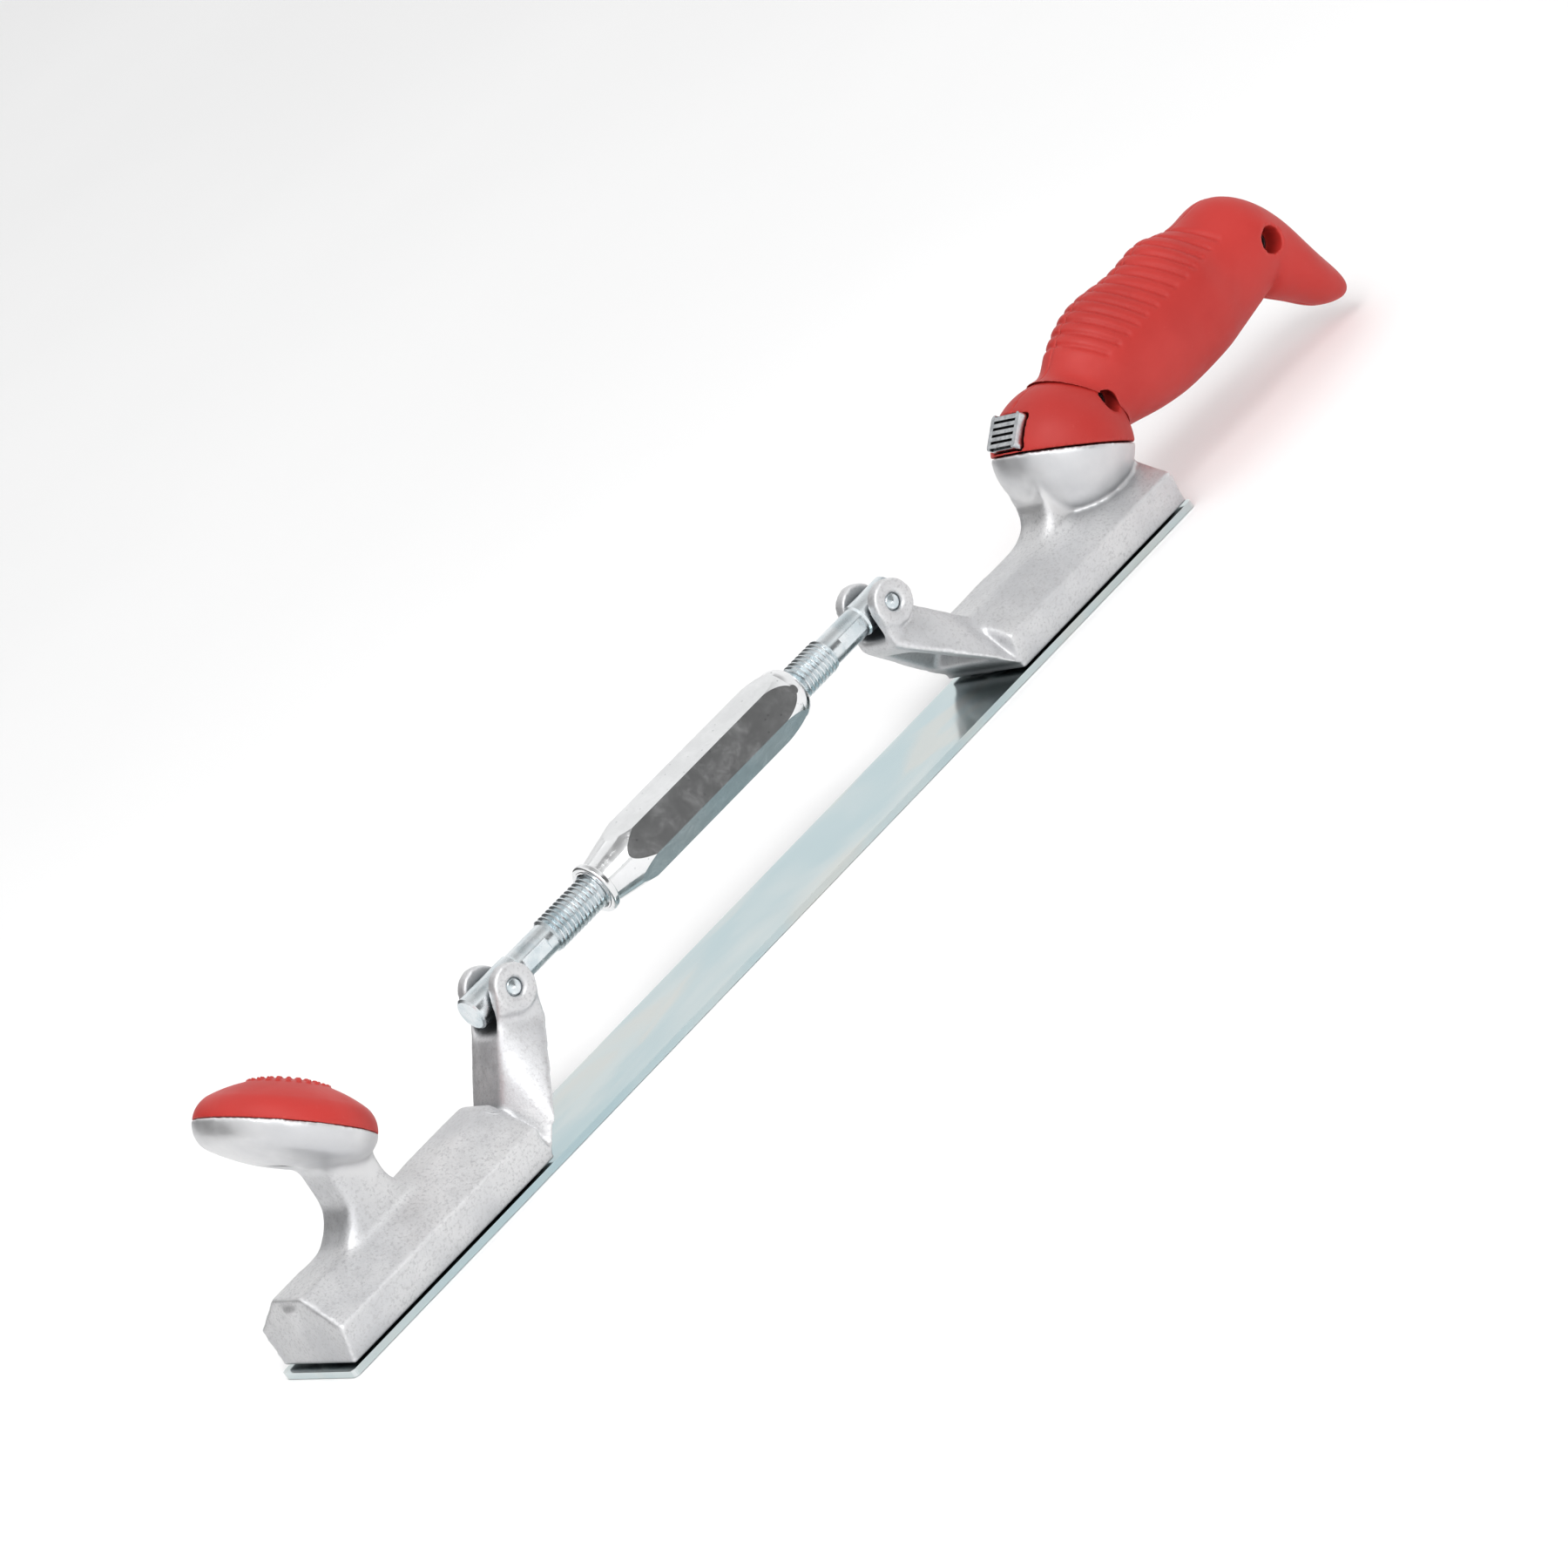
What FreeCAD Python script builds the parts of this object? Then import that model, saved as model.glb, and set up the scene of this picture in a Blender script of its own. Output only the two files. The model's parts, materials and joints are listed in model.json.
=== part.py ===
import FreeCAD, Part
import math
import os
import re
import Sketcher

# Flexible body file holder: two castings on a spring strip, bent by a turnbuckle.
# X runs along the file from the knob to the handle, Z is up, the strip underside is Z zero.
# All sizes are millimetres and degrees.

os.makedirs("parts", exist_ok=True)
doc = FreeCAD.newDocument("body_file_holder")
sheet = doc.addObject("Spreadsheet::Sheet", "Sizes")

SIZES = [
    # spring strip
    ("strip_length", 350), ("strip_width", 35), ("strip_thickness", 2), ("strip_corner", 1.5),
    ("file_hole_inset", 10), ("file_hole_radius", 3.3), ("file_thread_radius", 2.5),
    ("screw_inset", 42), ("screw_pitch", 24),
    ("screw_radius", 2.5), ("screw_head_radius", 4.8), ("screw_length", 11),
    ("screw_sink", 0.2), ("screw_head_depth", 1.7), ("screw_slack", 0.2), ("drive_flats", 3),
    # both castings
    ("rim_gap", 0.7), ("rim_half", "=strip_width / 2"), ("ridge_half", "=rim_half + 2.5"),
    ("ridge_z", 12.7), ("spine_half", 6.8),
    ("wall", 3), ("roof_drop", 3.4), ("boss_radius", 6.5),
    ("cavity_half", 13.6), ("cavity_knee", 15.6), ("cavity_top_half", 4.2),
    ("pivot_z", 39), ("ear_radius", 6.3), ("ear_half", 8.6), ("ear_boss", 0.85),
    ("slot_half", 5.5), ("slot_floor_z", "=pivot_z - 7"), ("slot_reach", 16), ("slot_height", 20),
    ("pin_radius", 2.5), ("pin_recess", 0.9), ("pin_ring_radius", 3.2), ("pin_ring_depth", 0.4),
    ("arm_face_half", 6.8), ("arm_root_half", 18), ("arm_knee_half", 18.4), ("arm_end_half", 8.6),
    ("arm_hollow_depth", 7.5), ("arm_hollow_start", 6.5), ("arm_hollow_stop", 7),
    ("arm_hollow_root", 13.4), ("arm_hollow_end", 5.9), ("arm_hollow_inset", 2.5),
    ("arm_hollow_deep_root", 7.4), ("arm_hollow_deep_end", 3.6), ("boss_hole_depth", 13), ("cell_count", 3),
    # front casting, measured from the front end of the strip
    ("front_setback", 2), ("front_end", 80), ("front_lean", 3.2), ("front_spine_z", 21.4),
    ("front_pivot", 104), ("front_face_x", 80), ("front_face_z", 16.6), ("front_face_tilt", 51),
    ("front_face_knee", 12), ("front_face_run", 25),
    ("front_back_x", 80), ("front_back_z", 4.2), ("front_back_tilt", 41.3),
    ("front_back_knee", 9), ("front_back_run", 36),
    # rear casting, measured from the rear end of the strip
    ("rear_setback", 1.5), ("rear_end", 73.5), ("rear_lean", 1), ("rear_spine_z", 19.8),
    ("rear_pivot", 89.4), ("rear_face_x", 68.6), ("rear_face_z", 16.5), ("rear_face_tilt", 49),
    ("rear_face_knee", 12), ("rear_face_run", 26),
    ("rear_back_x", 73.5), ("rear_back_z", 4.2), ("rear_back_tilt", 47),
    ("rear_back_knee", 9), ("rear_back_run", 34),
    # knob
    ("knob_x", 33.9), ("knob_z", 53.1), ("knob_tilt", 47), ("knob_radius", 23.3),
    ("bowl_depth", 10.5), ("bowl_knee", "=knob_radius - 3.1"), ("bowl_knee_drop", 6.6),
    ("bowl_belly", 60), ("bowl_rim", 8.6), ("bowl_well_radius", "=knob_radius - 6.3"),
    ("bowl_well_depth", 3.5),
    ("dome_height", 12), ("dome_arc", 37), ("dome_knee", "=knob_radius - 3.1"), ("dome_knee_rise", 6),
    ("dome_rim", 7.6), ("pad_fit", 0.05), ("pad_lip", 0.15),
    ("stud_radius", 0.6), ("stud_height", 0.6), ("stud_step", 2.5), ("stud_rings", 4),
    ("stud_root", 6), ("knob_screw_tip", 4),
    ("stem_half", 7.6), ("stem_front_x", 22), ("stem_front_z", 20.6), ("stem_heel_x", 27.6),
    ("stem_heel_z", 24.6), ("stem_neck_x", 31), ("stem_neck_z", 28.6), ("stem_top_x", 32.3),
    ("stem_top_z", 44), ("stem_back_top", 40.5), ("stem_crown_z", 41), ("stem_back_x", 45.5),
    ("stem_back_z", 36), ("stem_back_low", 27), ("stem_toe_x", 50), ("stem_toe_z", 20.6),
    ("stem_root_z", 14),
    ("knob_hole_radius", 3.4), ("knob_hole_depth", 3.2), ("knob_screw_radius", 1.9),
    ("knob_screw_head", 3.1), ("knob_screw_reach", 7),
    # handle seat on the rear casting
    ("ball_x", 13.6), ("ball_z", 31.3), ("ball_tilt", 34), ("ball_radius", 19.5),
    ("cup_depth", 17.5), ("cup_arc", 18.7), ("cup_well_radius", "=ball_radius - 2.9"), ("cup_well_depth", 5),
    ("neck_half", 7.2), ("neck_inner_x", 16), ("neck_top_z", 36), ("neck_top_x", 30.4),
    ("neck_front_x", 32.4), ("neck_front_z", 27), ("neck_bend_x", 34.8), ("neck_bend_z", 22.6),
    ("neck_toe_x", 39.2), ("neck_toe_z", 20.2), ("neck_end_x", 45), ("neck_root_z", 13),
    # link
    ("thread_radius", 5), ("rod_stub_radius", 4.75), ("rod_tip", 10.6), ("rear_rod_tip", 6.5),
    ("stub_end", 7),
    ("shank_radius", "=thread_radius - 0.7"), ("shank_flat", 3.9), ("flat_start", 8.5), ("flat_end", 17.5),
    ("front_shank", 20), ("rear_shank", 21), ("thread_pitch", 1.5),
    ("thread_depth", 0.8), ("engagement", 15), ("pivot_fit", 0.05), ("open_pivot_fit", 0.6),
    ("tip_bevel", 0.6), ("sleeve_front_gap", 38.6), ("sleeve_rear_gap", 35.6),
    ("sleeve_flats", "=thread_radius * 2 + 6"), ("sleeve_corner", "=sleeve_flats / 2 + 1.3"),
    ("sleeve_bore", "=thread_radius + 0.1"), ("sleeve_mouth", 0.8),
    ("collar_radius", "=sleeve_bore + 0.85"), ("collar_length", 2.6),
    ("sleeve_nose", "=collar_radius + 0.45"), ("sleeve_nose_run", 17),
    ("sleeve_tail", "=collar_radius + 0.45"), ("sleeve_tail_knee", "=sleeve_corner - 1.2"),
    ("sleeve_tail_short", 4), ("sleeve_tail_run", 13), ("sleeve_turn", 14),
    ("ring_width", 2.2), ("ring_radius", "=collar_radius + 1.45"),
    ("ring_fit", 0.08), ("ring_gap", 0.2), ("ring_round", 0.7), ("thread_over", 0.1), ("thread_half", 0.66),
    ("sleeve_tail_arc", 40), ("sleeve_tail_round", 5), ("pin_crown", 0.5), ("pin_crown_radius", 1.9),
    ("bowl_screw_head", 2.2),
    # handle
    ("seam", 0.4), ("floor_top", 4.2), ("shoulder_radius", 5), ("shoulder_fit", 0.06),
    ("hub_top", 12.5), ("shell_wall", 3.2),
    ("handle_screw_x", 13.5), ("handle_screw_z", 5.6), ("pommel_screw_x", 86.1),
    ("pommel_screw_z", 4.5), ("handle_screw_recess", 3.9), ("handle_screw_seat", 5.4),
    ("handle_screw_head", 3.4), ("handle_screw_radius", 1.9), ("handle_screw_length", 12),
    ("handle_boss_radius", 3.6), ("handle_screw_crown", 2.2), ("screw_clearance", 0.15),
    ("groove_count", 13), ("groove_radius", 0.8), ("groove_first", 26), ("groove_step", 4.3),
    ("groove_lean", -28), ("groove_rise", 6), ("groove_foot", 9.5),
    # swivel
    ("bolt_radius", 3), ("bolt_head_radius", 5), ("bolt_head_height", 4), ("bolt_seat", 14),
    ("bolt_fit", 0.1), ("washer_radius", 6.4), ("washer_thickness", 1.5), ("washer_gap", 0.05),
    ("nut_flats", 10), ("nut_height", 3.4), ("bolt_end", 0.6), ("head_pocket", 6.4),
    ("plate_radius", "=cup_well_radius - 0.2"), ("plate_inner", 12.4), ("plate_top", 0.9),
    ("notch_depth", 2.9),
    ("notch_radius", 14.9), ("notch_half", 2.4), ("notch_count", 8),
    ("plate_web", 1.2),
    # release button
    ("button_rise", 19.5), ("button_half_width", 6.4), ("button_half_height", 5),
    ("button_face", 20.1), ("button_back", 15.2), ("button_fit", 0.35), ("button_corner", 1.2),
    ("rib_count", 5), ("rib_pitch", 1.9), ("rib_height", 0.8), ("rib_depth", 1),
    ("rib_half", 4.9), ("window_depth", 12), ("pawl_shelf", 3.5), ("pawl_half", 2.1),
    ("pawl_outer", 12.1), ("pawl_inner", 9.6), ("pawl_travel", 2.5), ("pawl_fit", 0.4),
    ("pawl_foot", 2.6), ("pawl_top", 6.4),
]

# Grip and pommel cross sections from the ball centre: position, half height, half width, lean.
GRIP = [
    (13.2, 7.0, 17.5, 15.0, -25), (25.2, 7.3, 18.1, 14.6, -13.8), (37.8, 7.4, 19.9, 14.8, -7.8),
    (51.6, 6.6, 19.4, 15.0, -2.7), (64.1, 6.2, 18.4, 14.5, 1.5), (74.4, 6.0, 16.7, 13.6, 2.2),
]
POMMEL = [
    (83.8, 6.4, 15.4, 14.2, 4), (88.8, 1.7, 12.4, 13.2, 28), (93.0, -6.3, 10.4, 11.8, 36),
    (97.2, -14.1, 8.1, 10.2, 32), (101.5, -20.3, 5.4, 7.8, 30), (104.6, -24.2, 2.4, 3.8, 32),
]
SECTION_WORDS = ("along", "rise", "height", "width", "lean")
for family, rows in (("grip", GRIP), ("pommel", POMMEL)):
    for index, row in enumerate(rows):
        for word, number in zip(SECTION_WORDS, row):
            SIZES.append(("%s_%s_%s" % (family, "abcdef"[index], word), number))

for line, (alias, number) in enumerate(SIZES, start=1):
    sheet.set("A%d" % line, alias)
    sheet.set("B%d" % line, str(number))
    sheet.setAlias("B%d" % line, alias)
doc.recompute()

X_AXIS = FreeCAD.Vector(1, 0, 0)
Y_AXIS = FreeCAD.Vector(0, 1, 0)
Z_AXIS = FreeCAD.Vector(0, 0, 1)
ORIGIN = FreeCAD.Vector(0, 0, 0)
LINK_SPAN = "(strip_length - front_pivot - rear_pivot)"
RIM_Z = "strip_thickness + rim_gap"
BALL_X = "strip_length / 2 - ball_x"
SEATS = (("file", "file_hole_inset"), ("outer", "screw_inset"),
         ("inner", "screw_inset + screw_pitch"))
CLOCKWISE = FreeCAD.Vector(0, 0, -1)
TOLERANCE = 0.01


def link(formula):
    """Point every size name of a formula at the sheet."""
    return re.sub(r"([a-z][a-z_]*)(?!\w*\()", r"Sizes.\1", formula)


def value(formula):
    """Number given by a formula of sheet sizes."""
    return float(sheet.evalExpression(link(formula)))


def new_body(label):
    body = doc.addObject("PartDesign::Body", label)
    body.Label = label
    return body


def place(part, x="0", z="0", axis=Z_AXIS, angle="0"):
    """Put a sub-part at a position in the XZ plane, turned about one axis."""
    part.Placement = FreeCAD.Placement(ORIGIN, FreeCAD.Rotation(axis, value(angle)))
    part.setExpression("Placement.Base.x", link(x))
    part.setExpression("Placement.Base.z", link(z))
    if value(angle) != 0:
        part.setExpression("Placement.Rotation.Angle", link(angle))


def new_sketch(body, name, role, shift=("0", "0", "0"), axis=Z_AXIS, angle="0"):
    """Sketch on an origin plane, shifted and turned in that plane's own frame."""
    plane = next(item for item in body.Origin.OriginFeatures if item.Role == role)
    sketch = body.newObject("Sketcher::SketchObject", name)
    sketch.AttachmentSupport = [(plane, "")]
    sketch.MapMode = "FlatFace"
    turn = FreeCAD.Rotation(axis, value(angle))
    sketch.AttachmentOffset = FreeCAD.Placement(ORIGIN, turn)
    for letter, formula in zip("xyz", shift):
        if formula != "0":
            sketch.setExpression("AttachmentOffset.Base." + letter, link(formula))
    if angle != "0":
        sketch.setExpression("AttachmentOffset.Rotation.Angle", link(angle))
    return sketch


def bind(sketch, kind, *where):
    """Add a size constraint whose value comes from a formula."""
    formula = where[-1]
    number = sketch.addConstraint(Sketcher.Constraint(kind, *where[:-1], value(formula)))
    sketch.setExpression("Constraints[%d]" % number, link(formula))


def outline(sketch, corners, arcs=None):
    """Closed outline through the corners; arcs gives (radius, side) of curved edges."""
    arcs = arcs or {}
    spots = [FreeCAD.Vector(value(u), value(v), 0) for u, v in corners]
    ends = []
    for index, start in enumerate(spots):
        stop = spots[(index + 1) % len(spots)]
        if index in arcs:
            radius, side = arcs[index]
            chord = stop - start
            half = chord.Length / 2
            across = FreeCAD.Vector(-chord.y, chord.x, 0).normalize() * side
            sagitta = value(radius) - math.sqrt(max(value(radius) ** 2 - half ** 2, 0))
            middle = (start + stop) * 0.5 - across * sagitta
            curve = Part.Arc(start, middle, stop)
        else:
            curve = Part.LineSegment(start, stop)
        edge = sketch.addGeometry(curve, False)
        flipped = (sketch.getPoint(edge, 1) - start).Length > (sketch.getPoint(edge, 2) - start).Length
        ends.append((edge, 2, 1) if flipped else (edge, 1, 2))
    for index, (u, v) in enumerate(corners):
        edge, first, last = ends[index]
        following, entry, _ = ends[(index + 1) % len(ends)]
        sketch.addConstraint(Sketcher.Constraint("Coincident", edge, last, following, entry))
        bind(sketch, "DistanceX", edge, first, u)
        bind(sketch, "DistanceY", edge, first, v)
        if index in arcs:
            bind(sketch, "Radius", edge, arcs[index][0])
    return sketch


def circle(sketch, u, v, radius):
    centre = FreeCAD.Vector(value(u), value(v), 0)
    ring = sketch.addGeometry(Part.Circle(centre, Z_AXIS, value(radius)), False)
    bind(sketch, "Radius", ring, radius)
    bind(sketch, "DistanceX", ring, 3, u)
    bind(sketch, "DistanceY", ring, 3, v)
    return sketch


def rectangle(sketch, left, bottom, right, top):
    return outline(sketch, [(left, bottom), (right, bottom), (right, top), (left, top)])


def mirrored(points):
    """Complete a half outline about the sketch's vertical axis."""
    return points + [("-(%s)" % u, v) for u, v in reversed(points)]


def extrude(kind, body, sketch, length, symmetric=False, back=False):
    feature = body.newObject("PartDesign::" + kind, sketch.Name + "_" + kind.lower())
    feature.Profile = sketch
    feature.Type = "Length"
    feature.SideType = "Symmetric" if symmetric else "One side"
    feature.Reversed = back
    feature.setExpression("Length", link(length))
    sketch.Visibility = False
    doc.recompute()
    return feature


def pad(body, sketch, length, symmetric=False, back=False):
    return extrude("Pad", body, sketch, length, symmetric, back)


def pocket(body, sketch, length, symmetric=False, back=False):
    return extrude("Pocket", body, sketch, length, symmetric, back)


def spin(kind, body, sketch, axis="V_Axis"):
    """Full turn about a sketch axis, added (Revolution) or removed (Groove)."""
    feature = body.newObject("PartDesign::" + kind, sketch.Name + "_" + kind.lower())
    feature.Profile = sketch
    feature.ReferenceAxis = (sketch, [axis])
    feature.Angle = 360
    sketch.Visibility = False
    doc.recompute()
    return feature


def loft(kind, body, name, first, second):
    feature = body.newObject("PartDesign::" + kind, name)
    feature.Profile = first
    feature.Sections = [second]
    feature.Ruled = True
    doc.recompute()
    return feature


def soften(kind, body, name, size, chosen):
    """Fillet or chamfer the edges of the tip that pass a test."""
    base = body.Tip
    names = []
    for number, edge in enumerate(base.Shape.Edges, start=1):
        if chosen(edge):
            names.append("Edge%d" % number)
    feature = body.newObject("PartDesign::" + kind, name)
    feature.Base = (base, names)
    feature.setExpression("Radius" if kind == "Fillet" else "Size", link(size))
    doc.recompute()
    return feature


def turned(label, outline_points, arcs=None, axis="V_Axis"):
    """Round part turned about its own Z (V_Axis) or X (H_Axis)."""
    body = new_body(label)
    sketch = outline(new_sketch(body, label + "_profile", "XZ_Plane"), outline_points, arcs)
    spin("Revolution", body, sketch, axis)
    return body


def hexagon(sketch, flats, turn="0"):
    """Regular hexagon across the given flats, its first corner at the turn angle."""
    reach = "(%s) / 2 / cos(30)" % flats
    corners = []
    for step in range(6):
        angle = "(%s + %d)" % (turn, 60 * step)
        corners.append(("%s * cos%s" % (reach, angle), "%s * sin%s" % (reach, angle)))
    return outline(sketch, corners)


def copies(label, pattern, spots, angle=0):
    """One node holding the pattern's solid at several positions, turned about X."""
    solids = []
    for x, y, z in spots:
        solid = pattern.Shape.copy()
        solid.rotate(ORIGIN, X_AXIS, angle)
        solid.translate(FreeCAD.Vector(value(x), value(y), value(z)))
        solids.append(solid)
    node = doc.addObject("Part::Feature", label)
    node.Label = label
    node.Shape = Part.makeCompound(solids)
    node.Placement = FreeCAD.Placement()
    return node


def casting(side):
    """Shoe, arm and pivot ears, measured inwards from the end of the strip."""
    body = new_body(side + "_shoe")
    setback = side + "_setback"
    spine = side + "_spine_z"
    pivot = side + "_pivot"
    end = side + "_end"
    half_section = [("rim_half", RIM_Z), ("ridge_half", "ridge_z"), ("spine_half", spine)]
    block = new_sketch(body, side + "_block", "YZ_Plane", ("0", "0", setback))
    pad(body, outline(block, mirrored(half_section)), end + " - " + setback)

    lean = setback + " + " + side + "_lean"
    wedge = new_sketch(body, side + "_wedge", "XZ_Plane")
    outline(wedge, [("0", RIM_Z), (setback, RIM_Z), (lean, spine), (lean, spine + " + wall"),
                    ("0", spine + " + wall")])
    pocket(body, wedge, "strip_width * 2", symmetric=True)

    down = FreeCAD.Vector(0, -1, 0)
    face = new_sketch(body, side + "_arm_face", "XY_Plane",
                      (side + "_face_x", "0", side + "_face_z"), down, side + "_face_tilt")
    knee, run = side + "_face_knee", side + "_face_run"
    outline(face, [("0", "-arm_face_half"), (knee, "-arm_face_half"), (run, "-arm_face_half"),
                   (run, "arm_face_half"), (knee, "arm_face_half"), ("0", "arm_face_half")])
    back = new_sketch(body, side + "_arm_back", "XY_Plane",
                      (side + "_back_x", "0", side + "_back_z"), down, side + "_back_tilt")
    knee, run = side + "_back_knee", side + "_back_run"
    outline(back, [("0", "-arm_root_half"), (knee, "-arm_knee_half"), (run, "-arm_end_half"),
                   (run, "arm_end_half"), (knee, "arm_knee_half"), ("0", "arm_root_half")])
    loft("AdditiveLoft", body, side + "_arm", face, back)

    ear = new_sketch(body, side + "_ear", "XZ_Plane")
    corners = []
    for plane in ("_face", "_back"):
        names = {word: side + plane + word for word in ("_x", "_z", "_run", "_tilt")}
        corners.append(("%(_x)s + %(_run)s * cos(%(_tilt)s)" % names,
                        "%(_z)s + %(_run)s * sin(%(_tilt)s)" % names))
    outline(ear, corners + [(pivot + " + ear_radius", "pivot_z"),
                            (pivot + " - ear_radius * cos(25)", "pivot_z + ear_radius * sin(25)")])
    pad(body, ear, "ear_half * 2", symmetric=True)
    disc = circle(new_sketch(body, side + "_disc", "XZ_Plane"), pivot, "pivot_z", "ear_radius")
    pad(body, disc, "ear_half * 2 + ear_boss * 2", symmetric=True)

    slot = new_sketch(body, side + "_slot", "XZ_Plane")
    rectangle(slot, pivot + " - slot_reach", "slot_floor_z", pivot + " + slot_reach",
              "slot_floor_z + slot_height")
    pocket(body, slot, "slot_half * 2", symmetric=True)
    bore = circle(new_sketch(body, side + "_bore", "XZ_Plane"), pivot, "pivot_z", "pin_radius")
    pocket(body, bore, "strip_width", symmetric=True)
    for name, sign in (("near", ""), ("far", "-")):
        ring = new_sketch(body, "%s_ring_%s" % (side, name), "XZ_Plane",
                          ("0", "0", sign + "(ear_half + ear_boss)"))
        circle(ring, pivot, "pivot_z", "pin_ring_radius")
        pocket(body, ring, "pin_ring_depth", back=bool(sign))

    hollow_top = new_sketch(body, side + "_hollow_mouth", "XY_Plane",
                            (side + "_back_x", "0", side + "_back_z"), down, side + "_back_tilt")
    stop = run + " - arm_hollow_stop"
    outline(hollow_top, [("arm_hollow_start", "-arm_hollow_root"), (stop, "-arm_hollow_end"),
                         (stop, "arm_hollow_end"), ("arm_hollow_start", "arm_hollow_root")])
    floor_x = side + "_back_x - arm_hollow_depth * sin(" + side + "_back_tilt)"
    floor_z = side + "_back_z + arm_hollow_depth * cos(" + side + "_back_tilt)"
    hollow_floor = new_sketch(body, side + "_hollow_floor", "XY_Plane",
                              (floor_x, "0", floor_z), down, side + "_back_tilt")
    start = "arm_hollow_start + arm_hollow_inset"
    stop = stop + " - arm_hollow_inset"
    outline(hollow_floor, [(start, "-arm_hollow_deep_root"), (stop, "-arm_hollow_deep_end"),
                           (stop, "arm_hollow_deep_end"), (start, "arm_hollow_deep_root")])
    loft("SubtractiveLoft", body, side + "_hollow", hollow_top, hollow_floor)

    cell = "(%s - %s - wall * (cell_count + 1)) / cell_count" % (end, setback)
    half_cell = [("cavity_half", "strip_thickness"), ("cavity_knee", "ridge_z - rim_gap"),
                 ("cavity_top_half", spine + " - roof_drop")]
    for number in range(int(value("cell_count"))):
        start = "%s + wall + %d * (wall + %s)" % (setback, number, cell)
        sketch = new_sketch(body, "%s_cell_%d" % (side, number), "YZ_Plane", ("0", "0", start))
        pocket(body, outline(sketch, mirrored(half_cell)), cell, back=True)
    for name, inset in SEATS:
        boss = new_sketch(body, "%s_boss_%s" % (side, name), "XY_Plane",
                          ("0", "0", "strip_thickness"))
        circle(boss, inset, "0", "boss_radius")
        pad(body, boss, spine + " - strip_thickness - roof_drop + rim_gap")
    for name, inset in SEATS:
        radius = "file_thread_radius" if name == "file" else "screw_radius"
        hole = new_sketch(body, "%s_hole_%s" % (side, name), "XY_Plane",
                          ("0", "0", "strip_thickness"))
        circle(hole, inset, "0", radius)
        pocket(body, hole, "boss_hole_depth", back=True)
    return body


# Front casting with the stem and bowl of the knob.
front_shoe = casting("front")
stem = new_sketch(front_shoe, "stem", "XZ_Plane")
outline(stem, [("stem_front_x", "stem_root_z"), ("stem_front_x", "stem_front_z"),
               ("stem_heel_x", "stem_heel_z"), ("stem_neck_x", "stem_neck_z"),
               ("stem_top_x", "stem_top_z"), ("stem_back_top", "stem_crown_z"),
               ("stem_back_x", "stem_back_z"), ("stem_back_x", "stem_back_low"),
               ("stem_toe_x", "stem_toe_z"), ("stem_toe_x", "stem_root_z")])
pad(front_shoe, stem, "stem_half * 2", symmetric=True)
KNOB_SEAT = ("knob_x", "knob_z", "0")
bowl = new_sketch(front_shoe, "bowl", "XZ_Plane", KNOB_SEAT, CLOCKWISE, "knob_tilt")
outline(bowl, [("0", "-bowl_depth"), ("bowl_knee", "-bowl_knee_drop"), ("knob_radius", "0"),
               ("0", "0")], {0: ("bowl_belly", 1), 1: ("bowl_rim", 1)})
spin("Revolution", front_shoe, bowl)
well = new_sketch(front_shoe, "bowl_well", "XZ_Plane", KNOB_SEAT, CLOCKWISE, "knob_tilt")
outline(well, [("0", "-bowl_well_depth"), ("bowl_well_radius", "-bowl_well_depth"),
               ("bowl_well_radius", "0"), ("knob_radius + rim_gap", "0"),
               ("knob_radius + rim_gap", "dome_height"), ("0", "dome_height")])
spin("Groove", front_shoe, well)
hole = new_sketch(front_shoe, "knob_hole", "XZ_Plane", KNOB_SEAT, CLOCKWISE, "knob_tilt")
outline(hole, [("0", "-bowl_depth - 1"), ("knob_hole_radius", "-bowl_depth - 1"),
               ("knob_hole_radius", "knob_hole_depth - bowl_depth"),
               ("knob_screw_radius", "knob_hole_depth - bowl_depth"),
               ("knob_screw_radius", "-bowl_well_depth + 1"), ("0", "-bowl_well_depth + 1")])
spin("Groove", front_shoe, hole)
place(front_shoe, "-strip_length / 2")

# Rear casting with the cup of the swivel handle.
rear_shoe = casting("rear")
neck = new_sketch(rear_shoe, "neck", "XZ_Plane")
outline(neck, [("neck_inner_x", "neck_root_z"), ("neck_inner_x", "neck_front_z"),
               ("neck_top_x", "neck_top_z"), ("neck_front_x", "neck_front_z"),
               ("neck_bend_x", "neck_bend_z"), ("neck_toe_x", "neck_toe_z"),
               ("neck_end_x", "rear_spine_z - 1"), ("neck_end_x", "neck_root_z")])
pad(rear_shoe, neck, "neck_half * 2", symmetric=True)
BALL_SEAT = ("ball_x", "ball_z", "0")
cup = new_sketch(rear_shoe, "cup", "XZ_Plane", BALL_SEAT, Z_AXIS, "ball_tilt")
outline(cup, [("0", "-cup_depth"), ("ball_radius", "0"), ("0", "0")], {0: ("cup_arc", 1)})
spin("Revolution", rear_shoe, cup)
well = new_sketch(rear_shoe, "cup_well", "XZ_Plane", BALL_SEAT, Z_AXIS, "ball_tilt")
rectangle(well, "0", "-cup_well_depth", "cup_well_radius", "0")
spin("Groove", rear_shoe, well)
hole = new_sketch(rear_shoe, "bolt_hole", "XZ_Plane", BALL_SEAT, Z_AXIS, "ball_tilt")
outline(hole, [("0", "-bolt_seat - bolt_head_height - 1"),
               ("head_pocket", "-bolt_seat - bolt_head_height - 1"),
               ("head_pocket", "-bolt_seat"), ("bolt_radius + bolt_fit", "-bolt_seat"),
               ("bolt_radius + bolt_fit", "-cup_well_depth + 1"), ("0", "-cup_well_depth + 1")])
spin("Groove", rear_shoe, hole)
place(rear_shoe, "strip_length / 2", "0", Z_AXIS, "180")

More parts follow.
